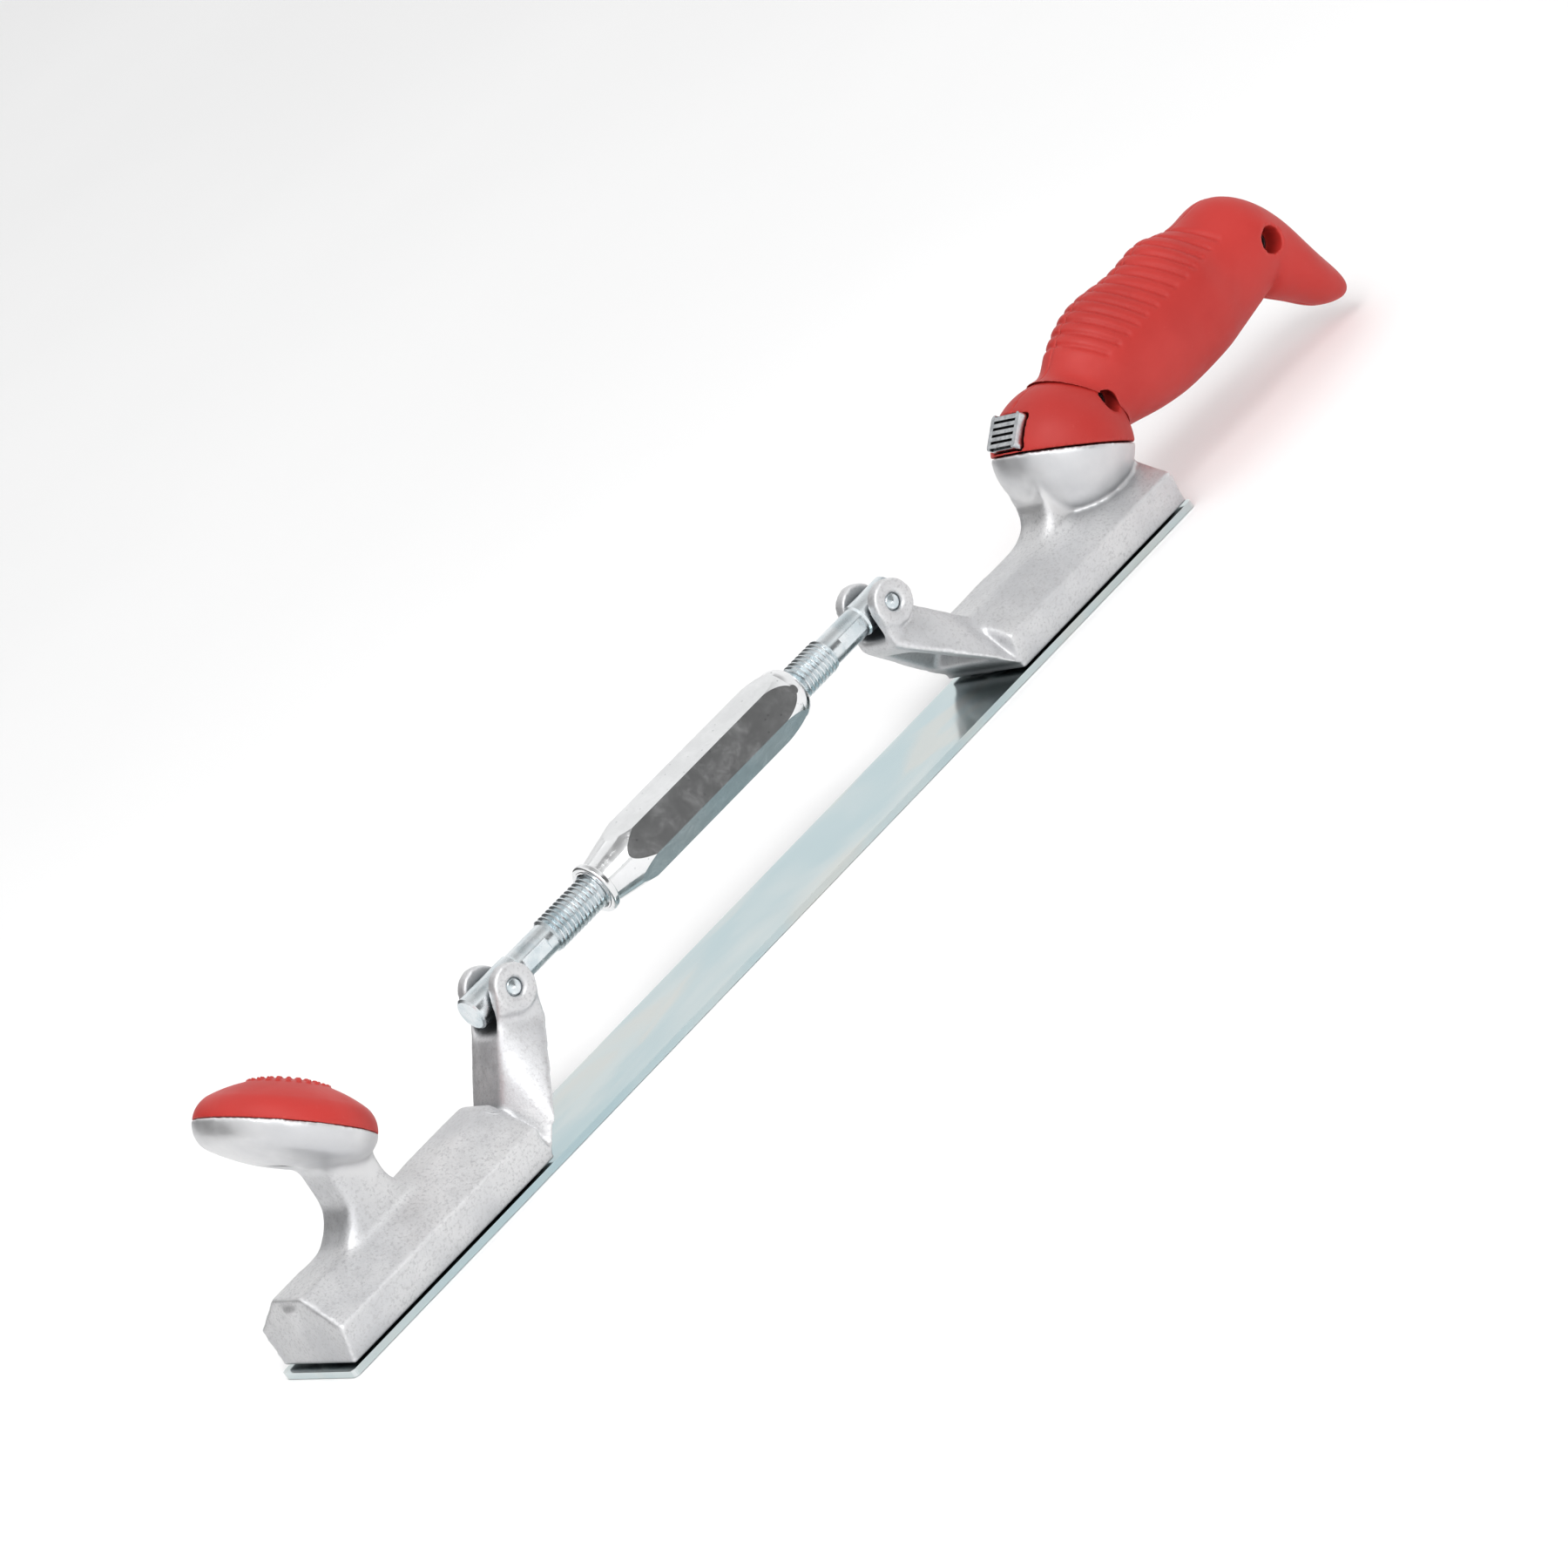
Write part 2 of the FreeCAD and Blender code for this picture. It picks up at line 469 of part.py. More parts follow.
# Spring strip under both castings.
spring_strip = new_body("spring_strip")
plan = new_sketch(spring_strip, "strip_plan", "XY_Plane")
rectangle(plan, "-strip_length / 2", "-strip_width / 2", "strip_length / 2", "strip_width / 2")
pad(spring_strip, plan, "strip_thickness")
soften("Fillet", spring_strip, "strip_corners", "strip_corner",
       lambda edge: edge.BoundBox.ZLength > value("strip_thickness") - TOLERANCE)
for end, sign in (("front", "-"), ("rear", "")):
    for name, inset in SEATS:
        spot = "%s(strip_length / 2 - (%s))" % (sign, inset)
        hole = new_sketch(spring_strip, "strip_%s_%s" % (end, name), "XZ_Plane", (spot, "0", "0"))
        if name == "file":
            corners = [("0", "0"), ("file_hole_radius", "0"),
                       ("file_hole_radius", "strip_thickness"), ("0", "strip_thickness")]
        else:
            corners = [("0", "0"), ("screw_head_radius + screw_slack", "0"),
                       ("screw_head_radius + screw_slack", "screw_sink"),
                       ("screw_radius + screw_slack", "screw_sink + screw_head_depth"),
                       ("screw_radius + screw_slack", "strip_thickness"),
                       ("0", "strip_thickness")]
        spin("Groove", spring_strip, outline(hole, corners))

# Countersunk screws through the strip into the castings, two at each end.
strip_screw = turned("strip_screw", [
    ("0", "screw_sink"), ("screw_head_radius", "screw_sink"),
    ("screw_radius", "screw_sink + screw_head_depth"), ("screw_radius", "screw_length"),
    ("0", "screw_length")])
drive = new_sketch(strip_screw, "strip_screw_drive", "XY_Plane", ("0", "0", "screw_sink"))
pocket(strip_screw, hexagon(drive, "drive_flats"), "screw_head_depth", back=True)
front_strip_screws = copies("front_strip_screws", strip_screw, [
    ("-strip_length / 2 + " + inset, "0", "0") for name, inset in SEATS if name != "file"])
rear_strip_screws = copies("rear_strip_screws", strip_screw, [
    ("strip_length / 2 - (%s)" % inset, "0", "0") for name, inset in SEATS if name != "file"])

# Red pad on the knob bowl, with rings of small studs, and the screw that holds it.
knob_pad = turned("knob_pad", [
    ("0", "pad_fit - bowl_well_depth"), ("bowl_well_radius - pad_fit", "pad_fit - bowl_well_depth"),
    ("bowl_well_radius - pad_fit", "0"), ("knob_radius - pad_lip", "0"),
    ("dome_knee", "dome_knee_rise"), ("0", "dome_height")],
    {3: ("dome_rim", 1), 4: ("dome_arc", 1)})
for ring in range(int(value("stud_rings")) + 1):
    reach = "stud_step * %d" % ring
    studs = new_sketch(knob_pad, "studs_%d" % ring, "XY_Plane", ("0", "0", "stud_root"))
    total = max(6 * ring, 1)
    for step in range(total):
        angle = 360.0 * step / total
        circle(studs, "%s * cos(%.3f)" % (reach, angle), "%s * sin(%.3f)" % (reach, angle),
               "stud_radius")
    crown = "sqrt(dome_arc ^ 2 - (%s) ^ 2) - (dome_arc - dome_height)" % reach
    pad(knob_pad, studs, "%s + stud_height - stud_root" % crown)
pilot = circle(new_sketch(knob_pad, "knob_pilot", "XY_Plane",
                          ("0", "0", "pad_fit - bowl_well_depth")), "0", "0", "knob_screw_radius")
pocket(knob_pad, pilot, "knob_screw_reach", back=True)
place(knob_pad, "knob_x - strip_length / 2", "knob_z", Y_AXIS, "knob_tilt")
knob_screw = turned("knob_screw", [
    ("0", "knob_hole_depth - bowl_depth - bowl_screw_head"),
    ("knob_screw_head", "knob_hole_depth - bowl_depth - bowl_screw_head"),
    ("knob_screw_head", "knob_hole_depth - bowl_depth"),
    ("knob_screw_radius", "knob_hole_depth - bowl_depth"),
    ("knob_screw_radius", "knob_screw_tip - bowl_well_depth"),
    ("0", "knob_screw_tip - bowl_well_depth")])
drive = new_sketch(knob_screw, "knob_screw_drive", "XY_Plane",
                   ("0", "0", "knob_hole_depth - bowl_depth - bowl_screw_head"))
pocket(knob_screw, hexagon(drive, "drive_flats"), "bowl_screw_head / 2", back=True)
place(knob_screw, "knob_x - strip_length / 2", "knob_z", Y_AXIS, "knob_tilt")


def pivot_pin(label, x):
    """Riveted pin across the ears, its ends set just inside the ear faces."""
    body = new_body(label)
    tip = "(ear_half + ear_boss - pin_recess)"
    profile = new_sketch(body, label + "_profile", "XY_Plane")
    outline(profile, [("0", "-%s - pin_crown" % tip), ("pin_crown_radius", "-" + tip),
                      ("pin_radius", "-%s + pin_crown" % tip), ("pin_radius", "%s - pin_crown" % tip),
                      ("pin_crown_radius", tip), ("0", "%s + pin_crown" % tip)])
    spin("Revolution", body, profile)
    place(body, x, "pivot_z")
    return body


front_pivot_pin = pivot_pin("front_pivot_pin", "front_pivot - strip_length / 2")
rear_pivot_pin = pivot_pin("rear_pivot_pin", "strip_length / 2 - rear_pivot")


def rod(side, tip, shank, fit, left_handed):
    """Link rod from its pivot eye to the threaded end inside the sleeve, along X."""
    body = new_body(side + "_rod")
    gap = "sleeve_%s_gap" % side
    total = "%s + engagement" % gap
    profile = new_sketch(body, side + "_rod_profile", "XZ_Plane")
    outline(profile, [("-" + tip, "0"), ("-" + tip, "rod_stub_radius - tip_bevel"),
                      ("tip_bevel - " + tip, "rod_stub_radius"),
                      ("stub_end", "rod_stub_radius"), ("stub_end + tip_bevel", "shank_radius"),
                      (shank, "shank_radius"), (shank + " + tip_bevel", "thread_radius"),
                      (total + " - tip_bevel", "thread_radius"),
                      (total, "thread_radius - tip_bevel"), (total, "0")])
    spin("Revolution", body, profile, "H_Axis")
    eye = circle(new_sketch(body, side + "_eye", "XZ_Plane"), "0", "0", "pin_radius + " + fit)
    pocket(body, eye, "strip_width", symmetric=True)
    for name, sign in (("near", ""), ("far", "-")):
        flat = new_sketch(body, "%s_flat_%s" % (side, name), "XZ_Plane",
                          ("0", "0", sign + "shank_flat"))
        rectangle(flat, "flat_start", "-rod_stub_radius", "flat_end", "rod_stub_radius")
        pocket(body, flat, "rod_stub_radius", back=not sign)
    tooth = new_sketch(body, side + "_tooth", "XZ_Plane")
    outline(tooth, [(shank + " - thread_half", "thread_radius + thread_over"),
                    (shank, "thread_radius - thread_depth"),
                    (shank + " + thread_half", "thread_radius + thread_over")])
    cut = body.newObject("PartDesign::SubtractiveHelix", side + "_thread")
    cut.Profile = tooth
    cut.ReferenceAxis = (tooth, ["H_Axis"])
    cut.Mode = "pitch-height-angle"
    cut.LeftHanded = left_handed
    cut.setExpression("Pitch", link("thread_pitch"))
    cut.setExpression("Height", link("%s - (%s) + thread_pitch" % (total, shank)))
    doc.recompute()
    return body


# The front end of the sleeve has the left-hand thread.
front_rod = rod("front", "rod_tip", "front_shank", "pivot_fit", True)
place(front_rod, "front_pivot - strip_length / 2", "pivot_z")
rear_rod = rod("rear", "rear_rod_tip", "rear_shank", "open_pivot_fit", False)
place(rear_rod, "strip_length / 2 - rear_pivot", "pivot_z", Z_AXIS, "180")

# Hexagonal sleeve, tapered at both ends, with a turned collar for the marking ring.
SLEEVE_X = "front_pivot - strip_length / 2 + sleeve_front_gap"
SLEEVE_LENGTH = "(%s - sleeve_front_gap - sleeve_rear_gap)" % LINK_SPAN
sleeve = new_body("turnbuckle_sleeve")
bar = new_sketch(sleeve, "sleeve_bar", "YZ_Plane")
pad(sleeve, hexagon(bar, "sleeve_flats", "sleeve_turn"), SLEEVE_LENGTH)
taper = new_sketch(sleeve, "sleeve_taper", "XZ_Plane")
outline(taper, [("-tip_bevel", "collar_radius"), ("collar_length", "collar_radius"),
                ("collar_length", "sleeve_nose"), ("sleeve_nose_run", "sleeve_corner"),
                (SLEEVE_LENGTH + " - sleeve_tail_run", "sleeve_corner"),
                (SLEEVE_LENGTH + " - sleeve_tail_short", "sleeve_tail_knee"),
                (SLEEVE_LENGTH, "sleeve_tail"), (SLEEVE_LENGTH + " + tip_bevel", "sleeve_tail"),
                (SLEEVE_LENGTH + " + tip_bevel", "sleeve_corner * 2"),
                ("-tip_bevel", "sleeve_corner * 2")], {4: ("sleeve_tail_arc", -1),
                                                       5: ("sleeve_tail_round", -1)})
spin("Groove", sleeve, taper, "H_Axis")
bore = new_sketch(sleeve, "sleeve_bore_profile", "XZ_Plane")
outline(bore, [("0", "0"), ("0", "sleeve_bore + sleeve_mouth / 2"), ("sleeve_mouth", "sleeve_bore"),
               (SLEEVE_LENGTH + " - sleeve_mouth", "sleeve_bore"),
               (SLEEVE_LENGTH, "sleeve_bore + sleeve_mouth / 2"), (SLEEVE_LENGTH, "0")])
spin("Groove", sleeve, bore, "H_Axis")
place(sleeve, SLEEVE_X, "pivot_z")

# Loose ring on the collar, marking the left-hand end.
ring = turned("marking_ring", [
    ("ring_gap", "collar_radius + ring_fit"), ("ring_gap", "ring_radius - ring_round"),
    ("ring_gap + ring_round", "ring_radius"), ("ring_gap + ring_width - ring_round", "ring_radius"),
    ("ring_gap + ring_width", "ring_radius - ring_round"),
    ("ring_gap + ring_width", "collar_radius + ring_fit")],
    {1: ("ring_round", -1), 3: ("ring_round", -1)}, "H_Axis")
place(ring, SLEEVE_X, "pivot_z")


# Swivel: bolt through the cup, toothed index plate, washer and nut, all along the tilted axis.
SWIVEL = (BALL_X, "ball_z", Y_AXIS, "ball_tilt")
swivel_bolt = turned("swivel_bolt", [
    ("0", "-bolt_seat - bolt_head_height"), ("bolt_head_radius", "-bolt_seat - bolt_head_height"),
    ("bolt_head_radius", "-bolt_seat"), ("bolt_radius", "-bolt_seat"),
    ("bolt_radius", "plate_web - cup_well_depth"), ("shoulder_radius", "plate_web - cup_well_depth"),
    ("shoulder_radius", "floor_top + washer_gap"), ("bolt_radius", "floor_top + washer_gap"),
    ("bolt_radius", "floor_top + washer_gap + washer_thickness + nut_height + bolt_end"),
    ("0", "floor_top + washer_gap + washer_thickness + nut_height + bolt_end")])
drive = new_sketch(swivel_bolt, "swivel_bolt_drive", "XY_Plane",
                   ("0", "0", "-bolt_seat - bolt_head_height"))
pocket(swivel_bolt, hexagon(drive, "bolt_head_radius"), "bolt_head_height / 2", back=True)
place(swivel_bolt, *SWIVEL)

index_plate = turned("index_plate", [
    ("bolt_radius", "-cup_well_depth"), ("plate_radius", "-cup_well_depth"),
    ("plate_radius", "-plate_top"), ("plate_inner", "-plate_top"),
    ("plate_inner", "plate_web - cup_well_depth"), ("bolt_radius", "plate_web - cup_well_depth")])
for step in range(int(value("notch_count"))):
    notch = new_sketch(index_plate, "notch_%d" % step, "XY_Plane", ("0", "0", "-plate_top"),
                       Z_AXIS, "360 / notch_count * %d" % step)
    rectangle(notch, "-notch_radius", "-notch_half", "shoulder_radius - plate_inner", "notch_half")
    pocket(index_plate, notch, "notch_depth")
place(index_plate, *SWIVEL)

swivel_washer = turned("swivel_washer", [
    ("bolt_radius + bolt_fit", "floor_top + washer_gap"), ("washer_radius", "floor_top + washer_gap"),
    ("washer_radius", "floor_top + washer_gap + washer_thickness"),
    ("bolt_radius + bolt_fit", "floor_top + washer_gap + washer_thickness")])
place(swivel_washer, *SWIVEL)

swivel_nut = new_body("swivel_nut")
NUT_SEAT = "floor_top + washer_gap + washer_thickness"
nut = new_sketch(swivel_nut, "nut_plan", "XY_Plane", ("0", "0", NUT_SEAT))
pad(swivel_nut, hexagon(nut, "nut_flats"), "nut_height")
bore = circle(new_sketch(swivel_nut, "nut_bore", "XY_Plane", ("0", "0", NUT_SEAT)), "0", "0",
              "bolt_radius")
pocket(swivel_nut, bore, "nut_height", back=True)
place(swivel_nut, *SWIVEL)

# Release button in the front of the ball, facing along its own X, and the pawl behind it.
button = new_body("release_button")
button_plan = new_sketch(button, "button_plan", "YZ_Plane", ("0", "0", "button_back"))
rectangle(button_plan, "-button_half_width", "-button_half_height", "button_half_width",
          "button_half_height")
pad(button, button_plan, "button_face - button_back")
soften("Fillet", button, "button_corners", "button_corner",
       lambda edge: edge.BoundBox.XLength > value("button_face - button_back") - TOLERANCE)
for step in range(int(value("rib_count")) + 1):
    level = "rib_pitch * (%d - rib_count / 2)" % step
    valley = new_sketch(button, "button_valley_%d" % step, "XZ_Plane")
    rectangle(valley, "button_face - rib_depth", level + " - rib_height / 2",
              "button_face + rib_depth", level + " + rib_height / 2")
    pocket(button, valley, "rib_half * 2", symmetric=True)
BUTTON = (BALL_X, "ball_z", Y_AXIS, "180 + ball_tilt + button_rise")
place(button, *BUTTON)

locking_pawl = new_body("locking_pawl")
pawl = new_sketch(locking_pawl, "pawl_side", "XZ_Plane")
outline(pawl, [("-pawl_outer", "-pawl_foot"), ("-pawl_inner", "-pawl_foot"),
               ("-pawl_inner", "pawl_top"),
               ("(pawl_top * sin(button_rise) - button_back) / cos(button_rise)", "pawl_top"),
               ("(pawl_shelf * sin(button_rise) - button_back) / cos(button_rise)", "pawl_shelf"),
               ("-pawl_outer", "pawl_shelf")])
pad(locking_pawl, pawl, "pawl_half * 2", symmetric=True)
place(locking_pawl, *SWIVEL)


def section(family, letter, shrink):
    """Half of an elliptical handle section, closed on the middle plane."""
    size = {word: value("%s_%s_%s" % (family, letter, word)) for word in SECTION_WORDS}
    lean = math.radians(size["lean"])
    tall = size["height"] - shrink
    wide = size["width"] - shrink
    frame = FreeCAD.Matrix(
        math.sin(lean) * tall, 0, math.cos(lean), size["along"],
        0, wide, 0, 0,
        math.cos(lean) * tall, 0, -math.sin(lean), size["rise"],
        0, 0, 0, 1)
    bow = Part.Circle(ORIGIN, Z_AXIS, 1).toShape(0, math.pi).transformGeometry(frame)
    ends = [vertex.Point for vertex in bow.Vertexes]
    return Part.Wire([bow.Edges[0], Part.makeLine(ends[1], ends[0])])


def skin(shrink=0.0, sections=None):
    """Smooth half body through a run of handle sections."""
    return Part.makeLoft([section(*name, shrink) for name in sections or HANDLE_RUN], True)


def along_swivel(shape):
    """Tilt a shape built along Z onto the swivel axis."""
    shape.rotate(ORIGIN, Y_AXIS, value("ball_tilt"))
    return shape


def half_ball(radius, bottom, top):
    """Left half of a ball between two levels of the swivel axis."""
    ball = Part.makeSphere(radius, ORIGIN, Z_AXIS, -90, 90, 180)
    slab = Part.makeBox(2 * radius, 2 * radius, top - bottom,
                        FreeCAD.Vector(-radius, -radius / 2, bottom))
    return along_swivel(ball.common(slab))


def cross_bar(across, up, radius, start, stop):
    """Round bar across the handle, along Y."""
    foot = FreeCAD.Vector(value(across), start, value(up))
    return Part.makeCylinder(radius, stop - start, foot, Y_AXIS)


def handle_rooms():
    """Room for the swivel nut, the bolt shoulder, the button and pawl, and the hollow grip."""
    reach = value("ball_radius")
    hub = half_ball(value("ball_radius - shell_wall"), value("floor_top"), value("hub_top"))
    boss = cross_bar(*SCREWS[0], value("handle_boss_radius"), -reach, reach)
    bore = Part.makeCylinder(value("shoulder_radius + shoulder_fit"), value("floor_top * 2"))
    gap = value("pawl_fit")
    way = Part.makeBox(value("pawl_outer - pawl_inner + pawl_travel") + 2 * gap,
                       2 * (value("pawl_half") + gap), value("floor_top * 2"),
                       FreeCAD.Vector(-value("pawl_outer") - gap, -value("pawl_half") - gap, 0))
    fit = value("button_fit")
    wide, tall = value("button_half_width") + fit, value("button_half_height") + fit
    window = Part.makeBox(reach, 2 * wide, 2 * tall,
                          FreeCAD.Vector(value("window_depth"), -wide, -tall))
    window.rotate(ORIGIN, Y_AXIS, value("180 + ball_tilt + button_rise"))
    hollow = skin(value("shell_wall"), HANDLE_RUN[1:5])
    return [hub.cut(boss), along_swivel(bore), along_swivel(way), window, hollow]


def grip_grooves():
    """Finger grooves that follow the skin over the top of the grip."""
    skin_shape = skin()
    lean = math.radians(value("groove_lean"))
    up = FreeCAD.Vector(math.sin(lean), 0, math.cos(lean))
    along = FreeCAD.Vector(math.cos(lean), 0, -math.sin(lean))
    size = value("strip_width")
    tools = []
    for step in range(int(value("groove_count"))):
        centre = FreeCAD.Vector(value("groove_first + groove_step * %d" % step), 0,
                                value("groove_rise"))
        loop = max(skin_shape.slice(along, centre.dot(along)), key=lambda wire: wire.Length)
        bow = max(loop.Edges, key=lambda edge: edge.BoundBox.YMax)
        start = bow.valueAt(bow.FirstParameter)
        ring = Part.Circle(start, bow.tangentAt(bow.FirstParameter), value("groove_radius"))
        tube = Part.Wire([bow]).makePipeShell([Part.Wire([ring.toShape()])], True, True)
        cap = Part.makeBox(2 * size, 2 * size, size, FreeCAD.Vector(-size, -size, 0))
        cap.rotate(ORIGIN, Y_AXIS, value("groove_lean"))
        cap.translate(centre + up * value("groove_foot"))
        tools.append(tube.common(cap))
    return tools


# Two-part moulded handle: ball, grip with finger grooves, and pommel with a down-turned tail.
HANDLE_RUN = [(family, letter) for family in ("grip", "pommel") for letter in "abcdef"]
SCREWS = (("handle_screw_x", "handle_screw_z"), ("pommel_screw_x", "pommel_screw_z"))
block = value("ball_radius") * 2
half = half_ball(value("ball_radius"), value("seam"), value("ball_radius")).fuse(skin())
half = half.cut(handle_rooms())
half = half.cut(grip_grooves())
seat = value("handle_screw_seat")
tip = value("handle_screw_length") - seat
for label, sign in (("handle_left", 1), ("handle_right", -1)):
    side = half if sign > 0 else half.mirror(ORIGIN, Y_AXIS)
    for spot in SCREWS:
        if sign > 0:
            side = side.cut(cross_bar(*spot, value("handle_screw_radius"), -1, tip))
        else:
            slack = value("handle_screw_radius + screw_clearance")
            side = side.cut([cross_bar(*spot, slack, -seat, 1),
                             cross_bar(*spot, value("handle_screw_recess"), -block, -seat)])
    node = doc.addObject("Part::Feature", label)
    node.Label = label
    node.Shape = side
    place(node, BALL_X, "ball_z")

handle_screw = turned("handle_screw", [
    ("0", "-handle_screw_crown"), ("handle_screw_radius", "-handle_screw_crown"),
    ("handle_screw_head", "-handle_screw_crown / 3"), ("handle_screw_head", "0"),
    ("handle_screw_radius", "0"), ("handle_screw_radius", "handle_screw_length"),
    ("0", "handle_screw_length")])
drive = new_sketch(handle_screw, "handle_screw_drive", "XY_Plane", ("0", "0", "-handle_screw_crown"))
pocket(handle_screw, hexagon(drive, "drive_flats"), "handle_screw_crown * 2 / 3", back=True)
handle_screws = copies("handle_screws", handle_screw, [
    ("%s + %s" % (BALL_X, across), "-handle_screw_seat", "ball_z + " + up)
    for across, up in SCREWS], -90)

NODES = [
    "front_shoe", "spring_strip", "front_strip_screws", "knob_pad", "knob_screw",
    "front_pivot_pin", "front_rod", "marking_ring", "turnbuckle_sleeve", "rear_rod",
    "rear_shoe", "rear_strip_screws", "rear_pivot_pin", "index_plate", "swivel_bolt",
    "swivel_washer", "swivel_nut", "handle_left", "handle_right", "handle_screws",
    "release_button", "locking_pawl",
]
doc.recompute()
for item in doc.Objects:
    if "Invalid" in item.State or "Error" in item.State:
        raise RuntimeError("%s did not recompute" % item.Name)
for label in NODES:
    node = doc.getObjectsByLabel(label)[0]
    if node.Shape.isNull() or not node.Shape.isValid():
        raise RuntimeError("%s has no sound shape" % label)
    node.Shape.exportStep("parts/%s.step" % label)
    print(label, len(node.Shape.Solids), round(node.Shape.Volume))
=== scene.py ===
"""The looks of the flexible body file holder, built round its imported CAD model."""

import json

import bmesh
import bpy
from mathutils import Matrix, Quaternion, Vector
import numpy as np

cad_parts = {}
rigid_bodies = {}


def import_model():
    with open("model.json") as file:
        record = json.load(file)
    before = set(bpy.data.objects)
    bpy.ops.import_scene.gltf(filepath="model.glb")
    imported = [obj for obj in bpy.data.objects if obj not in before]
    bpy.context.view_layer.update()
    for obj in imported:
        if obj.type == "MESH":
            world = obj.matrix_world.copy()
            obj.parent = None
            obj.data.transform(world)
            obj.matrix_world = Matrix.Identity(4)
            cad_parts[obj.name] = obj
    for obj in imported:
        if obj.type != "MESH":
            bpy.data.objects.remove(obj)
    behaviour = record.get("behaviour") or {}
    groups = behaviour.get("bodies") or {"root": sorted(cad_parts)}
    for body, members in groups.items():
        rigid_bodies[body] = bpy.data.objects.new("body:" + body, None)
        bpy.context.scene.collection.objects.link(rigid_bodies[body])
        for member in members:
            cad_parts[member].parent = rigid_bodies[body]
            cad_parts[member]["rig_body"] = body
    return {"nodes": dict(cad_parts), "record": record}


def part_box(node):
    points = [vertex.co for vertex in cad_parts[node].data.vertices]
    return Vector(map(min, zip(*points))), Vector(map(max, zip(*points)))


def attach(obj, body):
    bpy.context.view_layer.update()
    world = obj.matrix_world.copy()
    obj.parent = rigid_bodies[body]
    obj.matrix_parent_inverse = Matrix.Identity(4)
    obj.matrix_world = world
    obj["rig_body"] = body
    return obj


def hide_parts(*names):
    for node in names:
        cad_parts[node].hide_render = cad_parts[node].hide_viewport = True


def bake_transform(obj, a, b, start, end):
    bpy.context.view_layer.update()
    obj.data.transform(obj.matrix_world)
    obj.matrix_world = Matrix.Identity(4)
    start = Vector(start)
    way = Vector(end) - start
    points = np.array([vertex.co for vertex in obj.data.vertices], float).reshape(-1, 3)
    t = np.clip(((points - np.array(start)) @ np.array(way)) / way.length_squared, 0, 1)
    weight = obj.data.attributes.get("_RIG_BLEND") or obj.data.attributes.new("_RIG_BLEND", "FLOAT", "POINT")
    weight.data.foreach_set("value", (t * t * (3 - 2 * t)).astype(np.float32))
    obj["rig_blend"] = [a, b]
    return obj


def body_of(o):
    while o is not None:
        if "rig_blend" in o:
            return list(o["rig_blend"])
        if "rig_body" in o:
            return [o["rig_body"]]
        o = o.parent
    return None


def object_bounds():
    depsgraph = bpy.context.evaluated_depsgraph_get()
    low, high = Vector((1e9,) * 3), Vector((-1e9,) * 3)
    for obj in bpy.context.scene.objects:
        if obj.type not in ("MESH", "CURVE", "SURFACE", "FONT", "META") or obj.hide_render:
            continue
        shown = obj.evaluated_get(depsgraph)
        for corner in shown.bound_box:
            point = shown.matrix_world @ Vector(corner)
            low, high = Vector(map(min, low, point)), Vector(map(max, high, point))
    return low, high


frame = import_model()
cad_box = [list(corner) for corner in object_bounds()]
nodes = frame["nodes"]

MM = 0.001

CAMERA_PLACE = (-0.877281, -1.604168, 0.605321)
CAMERA_TURN = (0.678233, 0.589974, 0.033501, -0.436817)
CAMERA_LENS = 170.54
CAMERA_SENSOR = 36.0
CAMERA_FAR = 200.0

FLOOR_SIDE = 60.0
FLOOR_GAP = 0.0002
WORLD_STRENGTH = 1.08
BACKDROP_TONE = 0.86
# Each tone of the world: direction, cosines where it starts and ends, level outside and inside.
DIM_ZENITH = ((0.0, 0.0, 1.0), 0.55, 1.0, 1.0, 0.4)
DARK_CARD = ((0.47, -0.86, 0.19), 0.90, 0.965, 1.0, 0.16)
DARK_WALL = ((-0.55, 0.82, 0.1), 0.45, 0.9, 1.0, 0.1)

# Places of the CAD model, in millimetres.
PIVOTS = {"front": Vector((-71.0, 0.0, 39.0)), "rear": Vector((85.6, 0.0, 39.0))}
KNOB_CENTRE = Vector((-141.1, 0.0, 53.1))
KNOB_AXIS = Vector((0.731, 0.0, 0.682))
BALL_CENTRE = Vector((161.4, 0.0, 31.3))
BALL_RADIUS = 19.5
RIM_BAND = (3.4, 4.6)
SHOE_TOP_BAND = (14.0, 18.0)
STEM_MIDDLE, STEM_REACH = -138.0, 21.0
STEM_START_BAND = (3.5, 8.0)
NECK_MIDDLE, NECK_REACH = 142.0, 20.0
BALL_BAND = (BALL_RADIUS + 0.2, BALL_RADIUS + 3.0)
COLUMN_FADE = 4.0
EAR_BAND = (7.0, 10.0)
ARM_REACH, ARM_FADE = 32.0, 6.0
ARM_FOOT_BAND = (6.0, 10.0)

# The collar of the grip: the plane where it leaves the ball, and how its skin is drawn in there.
COLLAR_NORMAL = Vector((0.903, 0.0, 0.429))
COLLAR_REACH = 15.06
COLLAR_BACK = -0.3
COLLAR_RUN = 10.0
COLLAR_LIP = 0.3
COLLAR_SHARE = 0.1

# Faint rings left by ejector pins on the sides of the castings: x and z of their centres.
EJECTOR_MARKS = {
    "front_shoe": ((-148.0, 9.0), (-101.0, 9.0), (-96.0, 21.0)),
    "rear_shoe": ((165.0, 9.0), (118.0, 9.0), (103.0, 22.0), (92.5, 32.0)),
}
MARK_RADIUS = 2.1 * MM
MARK_LINE = 0.22 * MM

# Skins: voxel size in millimetres and smoothing passes.
CASTING_VOXEL, CASTING_PASSES = 0.62, 6
COLUMN_PASSES = 80
ARM_PASSES = 24
HANDLE_VOXEL, HANDLE_PASSES = 0.55, 3
PAD_VOXEL, PAD_PASSES = 0.36, 2
WELD = 0.002 * MM

# The strip: slices along it and rounding of its edges.
STRIP_SLICES = 120
STRIP_ROUNDING = 0.3 * MM

